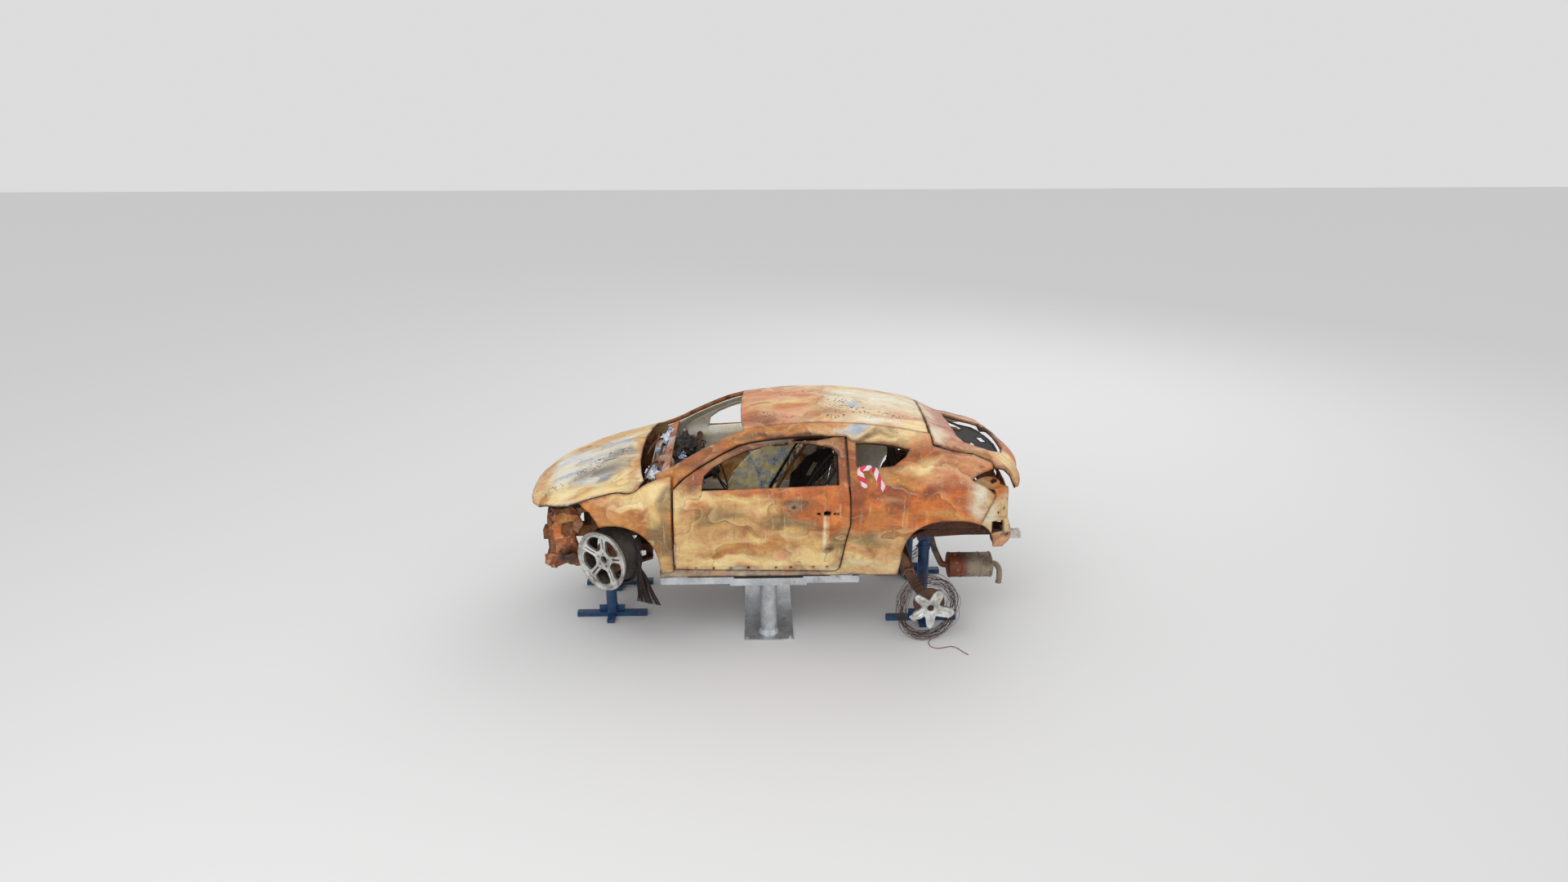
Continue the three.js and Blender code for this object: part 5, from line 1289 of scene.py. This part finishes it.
def steered(points, side):
    """Places on a front wheel pointing straight ahead, turned with it about the strut."""
    foot, top = BALL * (1, side, 1), STRUT_TOP * (1, side, 1)
    turn = np.array(Matrix.Rotation(STEER, 3, Vector(top - foot)))
    return (np.asarray(points, float) - foot) @ turn.T + foot


disc_steel = sooty("disc_steel", ((132, 92, 66), (96, 70, 56)), rust=0.9)
for label, side in SIDES:
    dress(nodes["knuckle_" + label], scale_rust, 50)
    dress(nodes["brake_disc_" + label], disc_steel, 50)
    along = [BALL + (STRUT_TOP - BALL) * t for t in np.linspace(0.62, 0.97, 90)]
    coil = []
    for k, p in enumerate(along):
        reach = 58 + 6 * math.sin(k / 28)
        coil.append(p + np.array((math.cos(k * 0.42), math.sin(k * 0.42), 0)) * reach)
    spring = pipe(steered([p * (1, side, 1) for p in coil], side), 6.5, 10)
    weld("spring_" + label, [spring], scale_rust, "hub_" + label)

# The front rims. Cast alloy with five twin spokes, whose tyre has burnt away: the outer face is still
# bright under brown soot, the barrel is burnt black, and steel wires of the tyre cling to it.
FRONT_HUB = (-1328, 773, 335)
SPOKE_TURN = 72  # degrees from one of the five spokes to the next
# A rim's window and the slot in each spoke, as (radius, degrees).
WINDOW = [(84, -12), (82, 0), (84, 12), (98, 19), (118, 23), (150, 25.5), (176, 26), (192, 22), (203, 12),
          (206, 0), (203, -12), (192, -22), (176, -26), (150, -25.5), (118, -23), (98, -19)]
SLOT = [(96, -2.6), (96, 2.6), (150, 1.8), (190, 1.3), (190, -1.3), (150, -1.8)]
WINDOW_TURN = -9  # degrees that the rim stands turned by


def polar(radius, degrees):
    """A place in a wheel's plane, with the angle counted from its foot."""
    a = math.radians(degrees)
    return (radius * math.sin(a), -radius * math.cos(a))


def bright_alloy(name, pale, soot_amount):
    """Cast alloy that is still bright under brown soot, darker along its edges."""
    f = Finish(name, 0.38, 0.55)
    cloud, grain = f.noise(7.0, 7, 0.68), f.noise(48.0, 5, 0.7)
    rim = f.add("ShaderNodeAttribute", {"attribute_name": "edge"}, out="Fac") + (grain - 0.5) * 10
    colour = f.mix(cloud.step(0.35, 0.65), pale, (168, 164, 156))
    colour = f.mix((cloud + (grain - 0.5) * 0.6).step(0.50, 0.66, soot_amount), colour, (92, 76, 62))
    colour = f.mix(rim.step(4, 0, 0.5), colour, (70, 60, 54))
    colour = f.mix(f.noise(120.0, 3, 0.6).step(0.60, 0.72, 0.5), colour, (60, 52, 48))
    return f.wear(colour, cloud * 0.4 + grain * 0.2 + 0.12, grain + cloud, 0.0012)


rim_face = bright_alloy("rim_alloy", (218, 220, 216), 0.55)
rim_barrel = sooty("burnt_barrel", ((70, 62, 56), (34, 31, 30)), 0.4)
for label, side in SIDES:
    def on_wheel(p):
        """Places on the wheel, as (along, outward, up) from its hub, on the car."""
        return steered(np.asarray(p) * (1, side, 1) + np.array(FRONT_HUB) * (1, side, 1), side)

    def star(flat):
        """The rim's dished face, with the five twin spokes standing out of it."""
        x, z = flat[:, 0], flat[:, 1]
        r = np.hypot(x, z)
        half = SPOKE_TURN / 2
        a = np.degrees(np.arctan2(x, -z)) - WINDOW_TURN - half
        off = r * np.sin(np.radians((a + half) % SPOKE_TURN - half))
        groove = 7 * rise(np.abs(off), 12, 5) * rise(r, 62, 84) * (1 - rise(r, 178, 206))
        flank = 7 * rise(np.abs(off), 14, 34) * rise(r, 80, 110) * (1 - rise(r, 186, 210))
        y = 96 + 14 * rise(r, 60, 205) - groove - flank - 10 * (1 - rise(r, 30, 46))
        out = on_wheel(np.array([(0, 1, 0)])) - on_wheel(np.array([(0, 0, 0)]))
        return on_wheel(np.stack([x, y, z], 1)), np.repeat(out, len(x), 0)

    outline = [polar(222, d) for d in range(0, 360, 5)]
    centre = [polar(30, d) for d in range(0, 360, 20)]
    windows, slots, bolts = [], [], []
    for k in range(5):
        turn = k * SPOKE_TURN + WINDOW_TURN
        windows.append([polar(r, a + turn) for r, a in WINDOW])
        slots.append([polar(r, a + turn + SPOKE_TURN / 2) for r, a in SLOT])
        bolts.append([polar(56 + 7 * math.cos(t), turn + SPOKE_TURN / 2 + 7.4 * math.sin(t))
                      for t in np.arange(8) * math.tau / 8])
    face = pressed("rim_face", outline, [centre, *windows, *slots, *bolts], 4, star, 24, gauge=5)
    face.modifiers.new("round", "BEVEL").width = 0.0012
    bpy.context.view_layer.objects.active = face
    bpy.ops.object.modifier_apply(modifier="round")
    lip = turned([(214, 76), (219, 110), (226, 120), (238, 126), (245, 126), (247, 122), (247, 116),
                  (234, 112), (227, 104), (222, 74)], on_wheel, 96)
    weld("rim_front_" + label, [face, lip], rim_face, "front_wheel_" + label,
         ("wheel_front_" + label,))
    barrel = turned([(247, -82), (247, -74), (228, -68), (226, -44), (206, -14), (206, 46), (222, 76),
                     (215, 78), (198, 48), (198, -20), (216, -44), (220, -78)], on_wheel, 72)
    pieces = [barrel]
    for k in range(16):
        r = 250 + 5 * math.sin(2.4 * k)
        loop = [(r * math.cos(a) + 5 * math.sin(3 * a + k),
                 -78 + 7 * (k % 6) + 6 * math.sin(2 * a + 1.7 * k), r * math.sin(a))
                for a in np.arange(0, math.tau, math.tau / 56)]
        pieces.append(pipe(on_wheel(np.array(loop)), 2.2, 4, closed=True))
    weld("rim_barrel_" + label, pieces, rim_barrel, "front_wheel_" + label)

strands = []
for k in range(44):
    s, lean = math.sin(1.9 * k), math.cos(2.7 * k)
    line = through([(212 + 10 * s, 665 + 14 * lean, 480), (262 + 12 * s, 715 + 12 * lean, 420),
                    (277 + 12 * lean, 748 + 16 * s, 326), (290 + 26 * s, 762 + 30 * lean, 190),
                    (304 + 44 * s, 762 + 40 * lean, 70 + 8 * s),
                    (318 + 74 * s, 752 + 60 * lean, -34 + 34 * lean)], 6)
    strands.append(pipe(steered([np.array((FRONT_HUB[0] + x, -y, z)) for x, y, z in line], -1),
                        6.0 - 3.2 * (k % 3) / 2, 8, taper=lambda t: 1.1 - 0.5 * t))
weld("front_tyre_wires", strands, charred, "hub_left", ("tyre_wire_front_left",), smooth=60)

# The rear axle and what is left of its wheels. The beam has dropped off its springs. Each rim melted until
# only the ragged star of its spokes is left, in a tangle of the tyre's wires on the floor.
arm_rust = sooty("arm_rust", ((136, 92, 66), (96, 82, 76)), rust=0.7)
dress(nodes["rear_axle"], arm_rust, 50)
REAR_HUB = (1205, 742, -150)
RIDGES = (2, 76, 157, 229, 301)  # degrees
# The border that the melted rim is left with, as (degrees, radius).
MELTED = [(0, 178), (12, 150), (24, 96), (36, 84), (50, 118), (62, 176), (76, 196), (88, 178), (98, 120),
          (108, 84), (124, 90), (138, 140), (150, 178), (164, 172), (174, 130), (184, 86), (198, 82),
          (210, 120), (222, 172), (236, 166), (246, 112), (258, 80), (272, 90), (284, 140), (296, 184),
          (308, 176), (318, 120), (328, 88), (340, 110), (350, 160)]
molten = bright_alloy("melted_alloy", (244, 246, 244), 0.22)
for label, side in SIDES:
    def slumped_star(flat):
        """The melted rim's face: five ridges that are left of the spokes, sagging and rough."""
        x, z = flat[:, 0], flat[:, 1]
        r = np.hypot(x, z)
        turn = np.degrees(np.arctan2(x, -z))
        spoke = np.min([np.abs((turn - d + 180) % 360 - 180) for d in RIDGES], axis=0)
        ridge = 8 * rise(spoke, 6, 2) * rise(r, 50, 80) * (1 - rise(r, 130, 160))
        y = 84 + 4 * rise(r, 60, 150) - ridge - 12 * rise(r, 44, 32)
        points = np.stack([REAR_HUB[0] + x, side * (REAR_HUB[1] + y), REAR_HUB[2] + z], 1)
        points[:, 1] -= side * np.abs(waves(points, 0.02, 9, 3.0 * side, 3))
        return points, np.repeat([(0, side, 0)], len(x), 0)

    outline = through([(*polar(r, a), 0) for a, r in [*MELTED, MELTED[0]]], 4)[:-1]
    centre = [polar(28, d) for d in range(0, 360, 24)]
    star = pressed("melted_star", [(p[0], p[1]) for p in outline], [centre], 5, slumped_star, 22, gauge=6)
    drips = []
    for angle, reach in MELTED:
        if reach > 174:
            x, z = polar(reach * 0.96, angle)
            tip = (REAR_HUB[0] + x, side * (REAR_HUB[1] + 76), REAR_HUB[2] + z)
            drips.append(lump(tip, (13, 9, 12), angle * 0.1, 0.6, 3))
    weld("melted_rim_" + label, [star, *drips], molten,
         stands_for=("wheel_rear_" + label,), smooth=50)
    loops = []
    for k in range(26):
        y = 655 + 5.6 * k
        lean, swell = 22 * math.sin(1.7 * k) - 8, 1 + 0.12 * math.sin(2.3 * k)
        ring = []
        for a in np.arange(0, math.tau, math.tau / 60):
            down = max(0.0, -math.cos(a))
            waver = (5 + 5 * (k % 3)) * math.sin((3 + k % 3) * a + k)
            r = 214 * swell + (304 - 214 * swell) * down * down + waver
            ring.append((REAR_HUB[0] - 22 * down + r * math.sin(a) + lean,
                         side * (y + 16 * math.sin(3 * a + 2 * k)),
                         max(REAR_HUB[2] + r * math.cos(a), -452)))
        loops.append(pipe(ring, 1.6, 4, closed=True))
    weld("rear_tyre_wires_" + label, loops, sooty("tyre_wire_" + label, ((92, 64, 50), (48, 40, 38)), 0.5),
         stands_for=("tyre_wire_rear_" + label,), smooth=60)

# The loose wire. One steel wire of the left rear tyre has sprung out and trails over the floor, rusty and
# bare at its end.
trail = through([(1216, -800, -452), (1202, -822, -456), (1196, -860, -457), (1214, -908, -457),
                 (1262, -930, -457), (1322, -916, -457), (1376, -902, -457), (1418, -930, -457),
                 (1452, -984, -457), (1490, -1034, -457)], 3)
loose = bpy.data.curves.new("loose_wire", "CURVE")
loose.dimensions = "3D"
loose.bevel_depth = 0.003
loose.bevel_resolution = 2
loose.use_fill_caps = True
spline = loose.splines.new("POLY")
spline.points.add(len(trail) - 1)
for point, place in zip(spline.points, trail):
    point.co = (*spot(*place), 1)
wire = bpy.data.objects.new("loose_wire", loose)
scene.collection.objects.link(wire)
dress(wire, sooty("wire_rust", (RUST, BROWN), 0.8))
settle(wire, "wreck_on_stands")
wire_length = sum((spot(*a) - spot(*b)).length for a, b in zip(trail, trail[1:]))
tuple(spot(*trail[0]))

# The exhaust. A steel pipe down the tunnel to an oval silencer with rolled seams, which hangs by its pipe
# behind the axle; its front end has rusted and the rest is grey-tan scale.
def scaled(name):
    """Grey-tan scale on steel, rusty round the silencer's front joint."""
    f = Finish(name, 0.6, 0.25)
    cloud, grain = f.noise(8.0, 7, 0.66), f.noise(60.0, 5, 0.7)
    colour = f.mix(cloud.step(0.40, 0.60), (150, 136, 116), (112, 100, 88))
    ragged = (cloud - 0.5) * 1.6 + (grain - 0.5) * 0.5
    hot = f.patch(f.place, (1.435 + SHIFT, -0.43, 0.06 + ROAD), (0.10, 9, 9), ragged, low=1.3, high=0.7)
    colour = f.mix(hot, colour, (128, 66, 44))
    colour = f.mix((grain + (cloud - 0.5)).step(0.54, 0.66, 0.6), colour, (104, 66, 48))
    colour = f.mix(f.noise(26.0, 4, 0.6).step(0.60, 0.70, 0.7), colour, (196, 186, 166))
    return f.wear(colour, grain * 0.3 + 0.42, grain + cloud * 0.5, 0.0016)


bpy.ops.object.select_all(action="DESELECT")
CAN = (1582, -430, 52)  # the silencer's middle
bpy.ops.mesh.primitive_cylinder_add(vertices=64, radius=1, depth=0.35, location=spot(*CAN),
                                    rotation=(0, math.pi / 2, 0))
can = bpy.context.object
can.scale = (0.100, 0.120, 1)
bpy.ops.object.transform_apply(location=True, rotation=True, scale=True)
bpy.ops.object.mode_set(mode="EDIT")
bpy.ops.mesh.select_mode(type="FACE")
mid = spot(*CAN).x
for inset, push in ((0.010, 0.0), (0.012, 0.010), (0.022, 0.007), (0.020, 0.003)):
    for end in (-1, 1):
        bpy.ops.mesh.select_all(action="DESELECT")
        mesh = bmesh.from_edit_mesh(can.data)
        for face in mesh.faces:
            outside = (face.calc_center_median().x - mid) * end > 0.1
            face.select = face.normal.x * end > 0.9 and outside and len(face.verts) > 8
        bmesh.update_edit_mesh(can.data)
        bpy.ops.mesh.inset(thickness=inset)
        bpy.ops.transform.translate(value=(end * push, 0, 0))
bpy.ops.object.mode_set(mode="OBJECT")
chamfered(can, 2)
exhaust = [can]
for x, wide in ((1409, 16), (1752, 16), (1500, 7), (1660, 7)):
    bpy.ops.object.select_all(action="DESELECT")
    bpy.ops.mesh.primitive_cylinder_add(vertices=64, radius=1, depth=wide / 1000, location=spot(x, *CAN[1:]),
                                        rotation=(0, math.pi / 2, 0))
    bpy.context.object.scale = (0.104, 0.124, 1)
    exhaust.append(chamfered(bpy.context.object, 3, 3))
exhaust += [bent([(1740, -430, 60), (1800, -434, 58), (1836, -440, 12), (1842, -446, -60),
                  (1838, -450, -110)], 24, 24),
            turned([(20, 0), (26, 0), (26, 16), (20, 16)],
                   lambda p: np.stack([1838 + p[:, 0], -450 + p[:, 2], -112 + p[:, 1]], 1), 32)]
weld("silencer_body", exhaust, scaled("silencer_scale"), stands_for=("silencer",))
line = [(-1040, -40, 150), (-600, 0, 140), (600, 0, 140), (900, -40, 158), (1130, -130, 240),
        (1255, -215, 262), (1300, -320, 150), (1338, -400, 72), (1358, -424, 54), (1400, -430, 54)]
front_pipe = [bent(line, 26, 20, steps=10), bar((-560, 0, 140), (-548, 0, 140), 46),
              bar((-546, 0, 140), (-534, 0, 140), 46),
              bar((-980, -34, 149), (-780, -15, 144), 36, chamfer=10),
              block(120, 420, -70, 70, 112, 170, 26)]
front_pipe += [bar((-960 + 20 * k, -32 + 2 * k, 149), (-952 + 20 * k, -31 + 2 * k, 149), 39, chamfer=3)
               for k in range(9)]
weld("front_pipe", front_pipe, scaled("pipe_scale"), stands_for=("exhaust_pipe",))

# The tail. A pressed panel under the tailgate with the lock's hole, and on it two alloy brackets that the
# bumper's beam was bolted to: open box sections, dull white with oxide.
def tail_form(flat):
    """The tail panel over (y, z): bowed across the car, with a pressed-in middle."""
    y, z = flat[:, 0], flat[:, 1]
    x = np.interp(np.abs(y), (0, 300, 556, 600), (1861, 1855, 1831, 1806))
    points = np.stack([x, y, z], 1)
    panel = 5 * rise(z, 560, 580) * (1 - rise(z, 690, 710)) * (np.abs(y) < 470)
    points[:, 0] -= panel + np.abs(waves(points, 0.008, 5, 71.0))
    return points, np.repeat([(1, 0, 0)], len(y), 0)


tail_holes = [[(-60, 700), (60, 700), (60, 740), (-60, 740)],
              [(-420, 600), (-330, 600), (-330, 660), (-420, 650)],
              [(330, 600), (420, 600), (420, 650), (330, 660)],
              [(-230, 470), (-170, 470), (-170, 520), (-230, 520)]]
tail_outline = [(-598, 434), (598, 434), (598, 778), (-598, 778)]
tail_patches = ((1.85, 0.7, 9, 0.05, ORANGE), (1.85, 0.5, 9, 0.05, TAN))
tail = pressed("tail_skin", tail_outline, tail_holes, 14, tail_form, 12)
weld("tail_skin", [tail], burnt("burnt_tail", (RUST, OCHRE), tail_patches, cracks=0.5),
     stands_for=("tail_panel",), smooth=None)
for label, side in SIDES:
    low, high = sorted((side * 472, side * 560))
    box_section = block(1848, 1970, low, high, 350, 404, 5)
    bpy.ops.object.mode_set(mode="EDIT")
    bpy.ops.mesh.select_mode(type="FACE")
    bpy.ops.mesh.select_all(action="DESELECT")
    mesh = bmesh.from_edit_mesh(box_section.data)
    for face in mesh.faces:
        face.select = face.normal.x > 0.95
    bmesh.update_edit_mesh(box_section.data)
    bpy.ops.mesh.inset(thickness=0.005)
    bpy.ops.mesh.extrude_region_move(TRANSFORM_OT_translate={"value": (-0.10, 0, 0)})
    bpy.ops.object.mode_set(mode="OBJECT")
    ribs = [block(x, x + 5, low - 2, high + 2, 347, 407, 1.5) for x in (1872, 1908, 1944)]
    weld("bumper_can_" + label, [box_section, block(1839, 1850, low - 14, high + 14, 336, 418, 3), *ribs],
         ashen("bracket_oxide_" + label, (216, 214, 206), (164, 160, 152)),
         stands_for=("bumper_bracket_" + label,))

# The cabin. The dashboard's cross tube and the wheel's core, two seat frames and the rear backrest: bent
# tube, pressed sheet and spring wire. The near seat is black loops; the far one is caked in pale ash.
dress(nodes["dash_bar"], skin_inside, 50)
COLUMN_LENGTH = 391.6
WHEEL_RADIUS = 180
WHEEL_BOSS = (-545, -372, 912)
column = (np.array((-540, 0, 914)) - np.array((-900, 0, 760))) / COLUMN_LENGTH


def on_rim(turn, waver=0.0):
    """A place on the steering wheel's rim at an angle, pushed out by waver millimetres at its top."""
    up = WHEEL_RADIUS * math.cos(turn) + waver
    return (-520 - column[2] * up, -372 + WHEEL_RADIUS * math.sin(turn), 922 + column[0] * up)


ring = [on_rim(a, 3 * math.sin(3 * a)) for a in np.arange(0, math.tau, math.tau / 60)]
wheel = [pipe(ring, 7, 12, closed=True)]
for a in (1.35, -1.35, math.pi):
    half_way = (np.array(WHEEL_BOSS) + on_rim(a)) / 2 - (12, 0, 6)
    wheel.append(bent([WHEEL_BOSS, tuple(half_way), on_rim(a)], 7, 8))
wheel += [bar(WHEEL_BOSS, (-512, -372, 925), 40, 30), bar((-700, -372, 840), (-566, -372, 898), 34),
          bent([(-900, -300, 700), (-760, -310, 560), (-700, -312, 420)], 8),
          bent([(-900, -420, 700), (-770, -420, 560), (-706, -420, 400)], 8)]
weld("steering_wheel_core", wheel, charred)
hanging = []
for k in range(22):
    y = -600 + 57 * k
    drop = 60 + 40 * math.sin(2.1 * k)
    hanging.append(bent([(-716, y, 850), (-690 + 14 * (k % 3), y + 10, 830 - drop * 0.5),
                         (-700 + 20 * (k % 4), y + 24 * math.sin(k), 850 - drop - 40)], 4, 6))
weld("dash_wires", hanging, charred)

BACK_LINE = through([(120, 0, 470), (210, 0, 640), (310, 0, 800), (440, 0, 975), (470, 0, 1000)], 10)
back_x, _, back_z = np.array(BACK_LINE).T
back_run = np.concatenate([[0], np.cumsum(np.hypot(np.diff(back_x), np.diff(back_z)))])
SEAT_RAIL = ((-320, 430), (-250, 398), (60, 372), (150, 425))  # the pan's side tubes, as (x, z)
seat_ash = ashen("seat_ash", (246, 232, 176), (178, 198, 216))


def back_place(y, run, deep):
    """A place on a seat's back: y across the car, run up the backrest, and deep forward of it."""
    x, z = np.interp(run, back_run, back_x), np.interp(run, back_run, back_z)
    return (x - deep * 0.85, y, z + deep * 0.5)


for label, side, ahead in (("left", -1, 0), ("right", 1, 170)):
    def lie(y, run, deep):
        """The same on this seat, which stands ahead of the left one by the distance ahead."""
        x, y, z = back_place(side * y, run, deep)
        return (x - ahead, y, z)

    tubes = []
    hoop = [(165, 30), (160, 300), (178, 520), (230, 610), (375, 640), (520, 610), (572, 520), (590, 300),
            (585, 30)]
    tubes.append(bent([lie(y, r, 8) for y, r in hoop], 13, 16))
    for k in range(9):
        r = 70 + 62 * k
        zig = [lie(185 + 47.5 * j, r + 16 * (-1) ** j, 6) for j in range(9)]
        tubes.append(bent(zig, 2.6, 6, steps=4))
    for y in (300, 450):
        tubes.append(bent([lie(y, 40, 12), lie(y + 8, 300, 22), lie(y, 600, 12)], 4, 8))
    tubes.append(bent([lie(320, 610, 0), lie(330, 690, 0), lie(420, 690, 0), lie(430, 610, 0)], 6, 10))
    for y in (168, 590):
        tubes.append(bent([(x - ahead, side * y, z) for x, z in SEAT_RAIL], 16, 14))
        tubes.append(block(-290 - ahead, 130 - ahead, side * y - 12, side * y + 12, 240, 262, 4))
        tubes += [block(x - ahead, x - ahead + 30, side * y - 10, side * y + 10, 255, 390, 3)
                  for x in (-260, 80)]
    for k in range(8):
        x = -300 + 56 * k
        z = np.interp(x, *np.array(SEAT_RAIL).T)
        tubes.append(bent([(x - ahead + 10 * (-1) ** j, side * (175 + 46 * j),
                            z - 6 - 10 * math.sin(j / 9 * math.pi)) for j in range(10)], 2.8, 6, steps=3))
    weld("seat_tubes_" + label, tubes, charred if side < 0 else rusted,
         stands_for=("seat_frame_" + label,), smooth=50)

    def pan(flat):
        """The seat's pan over (x, y), sagging at its middle."""
        x, y = flat[:, 0], flat[:, 1]
        z = np.interp(x, (-330, -250, 60, 150), (436, 396, 376, 426)) - 4
        points = np.stack([x - ahead, side * y, z], 1)
        points[:, 2] -= np.abs(waves(points, 0.01, 10, 5.0 * side))
        return points, np.repeat([(0, 0, 1)], len(x), 0)

    def backrest(flat):
        """A sheet over the backrest's springs, over (y, distance up the backrest)."""
        y, run = flat[:, 0], flat[:, 1]
        points = np.array([lie(a, b, 2) for a, b in flat])
        points[:, 0] += np.abs(waves(points, 0.009, 14, 8.0 * side))
        return points, np.repeat([(-0.85, 0, 0.5)], len(y), 0)

    def beside(flat, y, rough):
        """A rough sheet over (x, z) that stands beside the seat, at y."""
        points = np.stack([flat[:, 0], np.full(len(flat), float(y)), flat[:, 1]], 1)
        points[:, 1] -= np.abs(waves(points * (1, 1, 0.4), 0.014, rough, 3.0 + y, 4))
        return points, np.repeat([(0, -1, 0)], len(flat), 0)

    seat_pan = pressed("seat_pan", [(-320, 172), (150, 172), (150, 588), (-320, 588)],
                       [[(-200, 260), (-60, 250), (-60, 500), (-200, 510)]], 18, pan, 26)
    sheets = [seat_pan]
    if side > 0:
        cover = [(-470, 440), (-486, 540), (-404, 694), (-282, 838), (-145, 928), (60, 962), (126, 940),
                 (10, 740), (-108, 533), (-130, 440)]
        sheets.append(pressed("side_sheet", cover, [], 14, lambda flat: beside(flat, 150, 26), 8))
        cheek = [(80, 470), (95, 600), (230, 760), (330, 830), (440, 850), (480, 780), (440, 660),
                 (330, 540), (240, 470)]
        cheek_hole = [(215, 590), (296, 716), (336, 706), (270, 590)]
        bolster = pressed("bolster", cheek, [cheek_hole], 18, lambda flat: beside(flat, 290, 30), 16)
        strap = bent([(-90, 200, 450), (-84, 196, 540), (24, 192, 742), (140, 190, 940), (250, 200, 975),
                      (400, 230, 930), (460, 260, 850)], 22, 12)
        weld("charred_bolster", [bolster, strap], charred, smooth=None)
        back = [(176, 60), (574, 60), (580, 300), (566, 560), (500, 632), (250, 632), (190, 560)]
        sheets.append(pressed("back_sheet", back, [], 16, backrest, 8))
    weld("seat_sheet_" + label, sheets, seat_ash, smooth=None)
    cake = [lump(lie(240 + 80 * (k % 4), 120 + 110 * (k // 4), 16), (16, 60, 56), 61.0 + k + side, 0.7, 3)
            for k in range(12 if side > 0 else 3)]
    weld("seat_cake_" + label, cake, seat_ash if side > 0 else charred, smooth=None)

dress(nodes["rear_seat_frame"], skin_inside, 40)
springs = []
for k in range(12):
    y = -500 + 90 * k
    zig = [(976 + 6 * (-1) ** j, y + 14 * (-1) ** j, 440 + 50 * j) for j in range(10)]
    springs.append(bent(zig, 3, 6, steps=4))
springs += [bent([(974, -520, z), (968, 0, z + 6), (974, 520, z)], 8, 12) for z in (452, 660, 880)]
weld("rear_seat_springs", springs, charred, smooth=60)

# The barrier tape. A strip of red and white film, tied round the corner of the side window, with its two
# ends hanging down the haunch.
tape_line = through([(628, -868, 944), (622, -866, 990), (600, -862, 1040), (596, -846, 1084),
                     (640, -842, 1098), (690, -842, 1096), (716, -850, 1066), (738, -866, 1010),
                     (770, -876, 960), (790, -880, 925)], 6)
steps = len(tape_line)
strip = np.array(tape_line)
lean = np.stack([np.ones(steps), 0.25 * np.sin(np.linspace(0, 9, steps)),
                 0.55 * np.sin(np.linspace(1, 6, steps))], 1)
run = np.gradient(strip, axis=0)
lean -= (lean * run).sum(1)[:, None] * run / (run ** 2).sum(1)[:, None]
lean /= np.linalg.norm(lean, axis=1)[:, None]
WIDE = 46  # the tape's width in millimetres
bpy.ops.object.select_all(action="DESELECT")
bpy.ops.mesh.primitive_grid_add(x_subdivisions=8, y_subdivisions=steps - 1, size=2)
tape = bpy.context.object
tape.name = "barrier_tape"
for vertex in tape.data.vertices:
    k = round((vertex.co.y + 1) / 2 * (steps - 1))
    fold = 5 * math.sin(vertex.co.x * 4 + k * 0.35)
    vertex.co = spot(*(strip[k] + lean[k] * vertex.co.x * WIDE / 2 + np.array((0, -fold, 0))))


def film():
    """Striped plastic film with a little soot."""
    f = Finish("barrier_film", 0.35)
    cut = f.add("ShaderNodeTexCoord", out="UV")
    bands = f.add("ShaderNodeTexWave", {"wave_type": "BANDS", "bands_direction": "DIAGONAL"},
                  {"Vector": f.vector("MULTIPLY", cut, (0.5, 5.0, 0)), "Scale": 0.6})
    colour = f.mix(bands.step(0.47, 0.53), (226, 60, 84), (240, 226, 230))
    dirt = f.noise(40.0, 5, 0.6)
    return f.wear(f.mix(dirt.step(0.5, 0.7, 0.3), colour, (150, 110, 96)), dirt * 0.3 + 0.3, dirt, 0.0008)


tape.data.shade_smooth()
dress(tape, film())
settle(tape, "wreck_on_stands")

# The trestles. Blue-painted steel stands: a base bar and a foot of box section, a round column and a
# saddle under the car, with chipped paint and a locking pin.
def trestle_paint():
    """Blue paint, chipped to rusty steel and dusty."""
    f = Finish("trestle_blue", 0.5)
    worn, dust = f.noise(16.0, 7, 0.7), f.noise(5.0, 5, 0.6)
    colour = f.mix(dust.step(0.40, 0.70, 0.6), (20, 60, 102), (60, 98, 132))
    colour = f.mix(worn.step(0.59, 0.64, 0.9), colour, (112, 70, 46))
    return f.wear(colour, worn * 0.4 + 0.25, worn, 0.0008)


blue = trestle_paint()
for end, x, y, top in (("front", -1466, 290, 205), ("rear", 1190, 435, 330)):
    for label, side in SIDES:
        dress(nodes[f"trestle_{end}_{label}"], blue, 35)
        yy = side * y
        fittings = [bar((x, yy, top - 120), (x, yy, top - 76), 52),
                    bar((x - 66, yy, top - 98), (x + 66, yy, top - 98), 8),
                    bent([(x + 62, yy, top - 98), (x + 78, yy, top - 120), (x + 70, yy, top - 150)], 5, 8)]
        for way in (1, -1):
            fittings.append(block(x + way * 46, x + way * 110, yy - 4, yy + 4, -422, -360, 2))
        weld(f"trestle_fittings_{end}_{label}", fittings, blue)

# The lift's bolts. Three hexagon heads of galvanised steel along each end of the plate, each screwed down
# on its washer.
heads = []
for side in (-1, 1):
    for k in (-1, 0, 1):
        x = -118 + 178 * k
        heads.append(bar((x, side * 738, -450), (x, side * 738, -445), 19, sides=24, chamfer=1))
        heads.append(bar((x, side * 738, -445), (x, side * 738, -434), 13, sides=6, chamfer=1.5))
weld("lift_bolts", heads, steel)

# Closing. Any node without a finish of its own yet is caught here.
for node in nodes.values():
    if not node.hide_render and not node.data.materials:
        raise SystemExit("no finish: " + node.name)
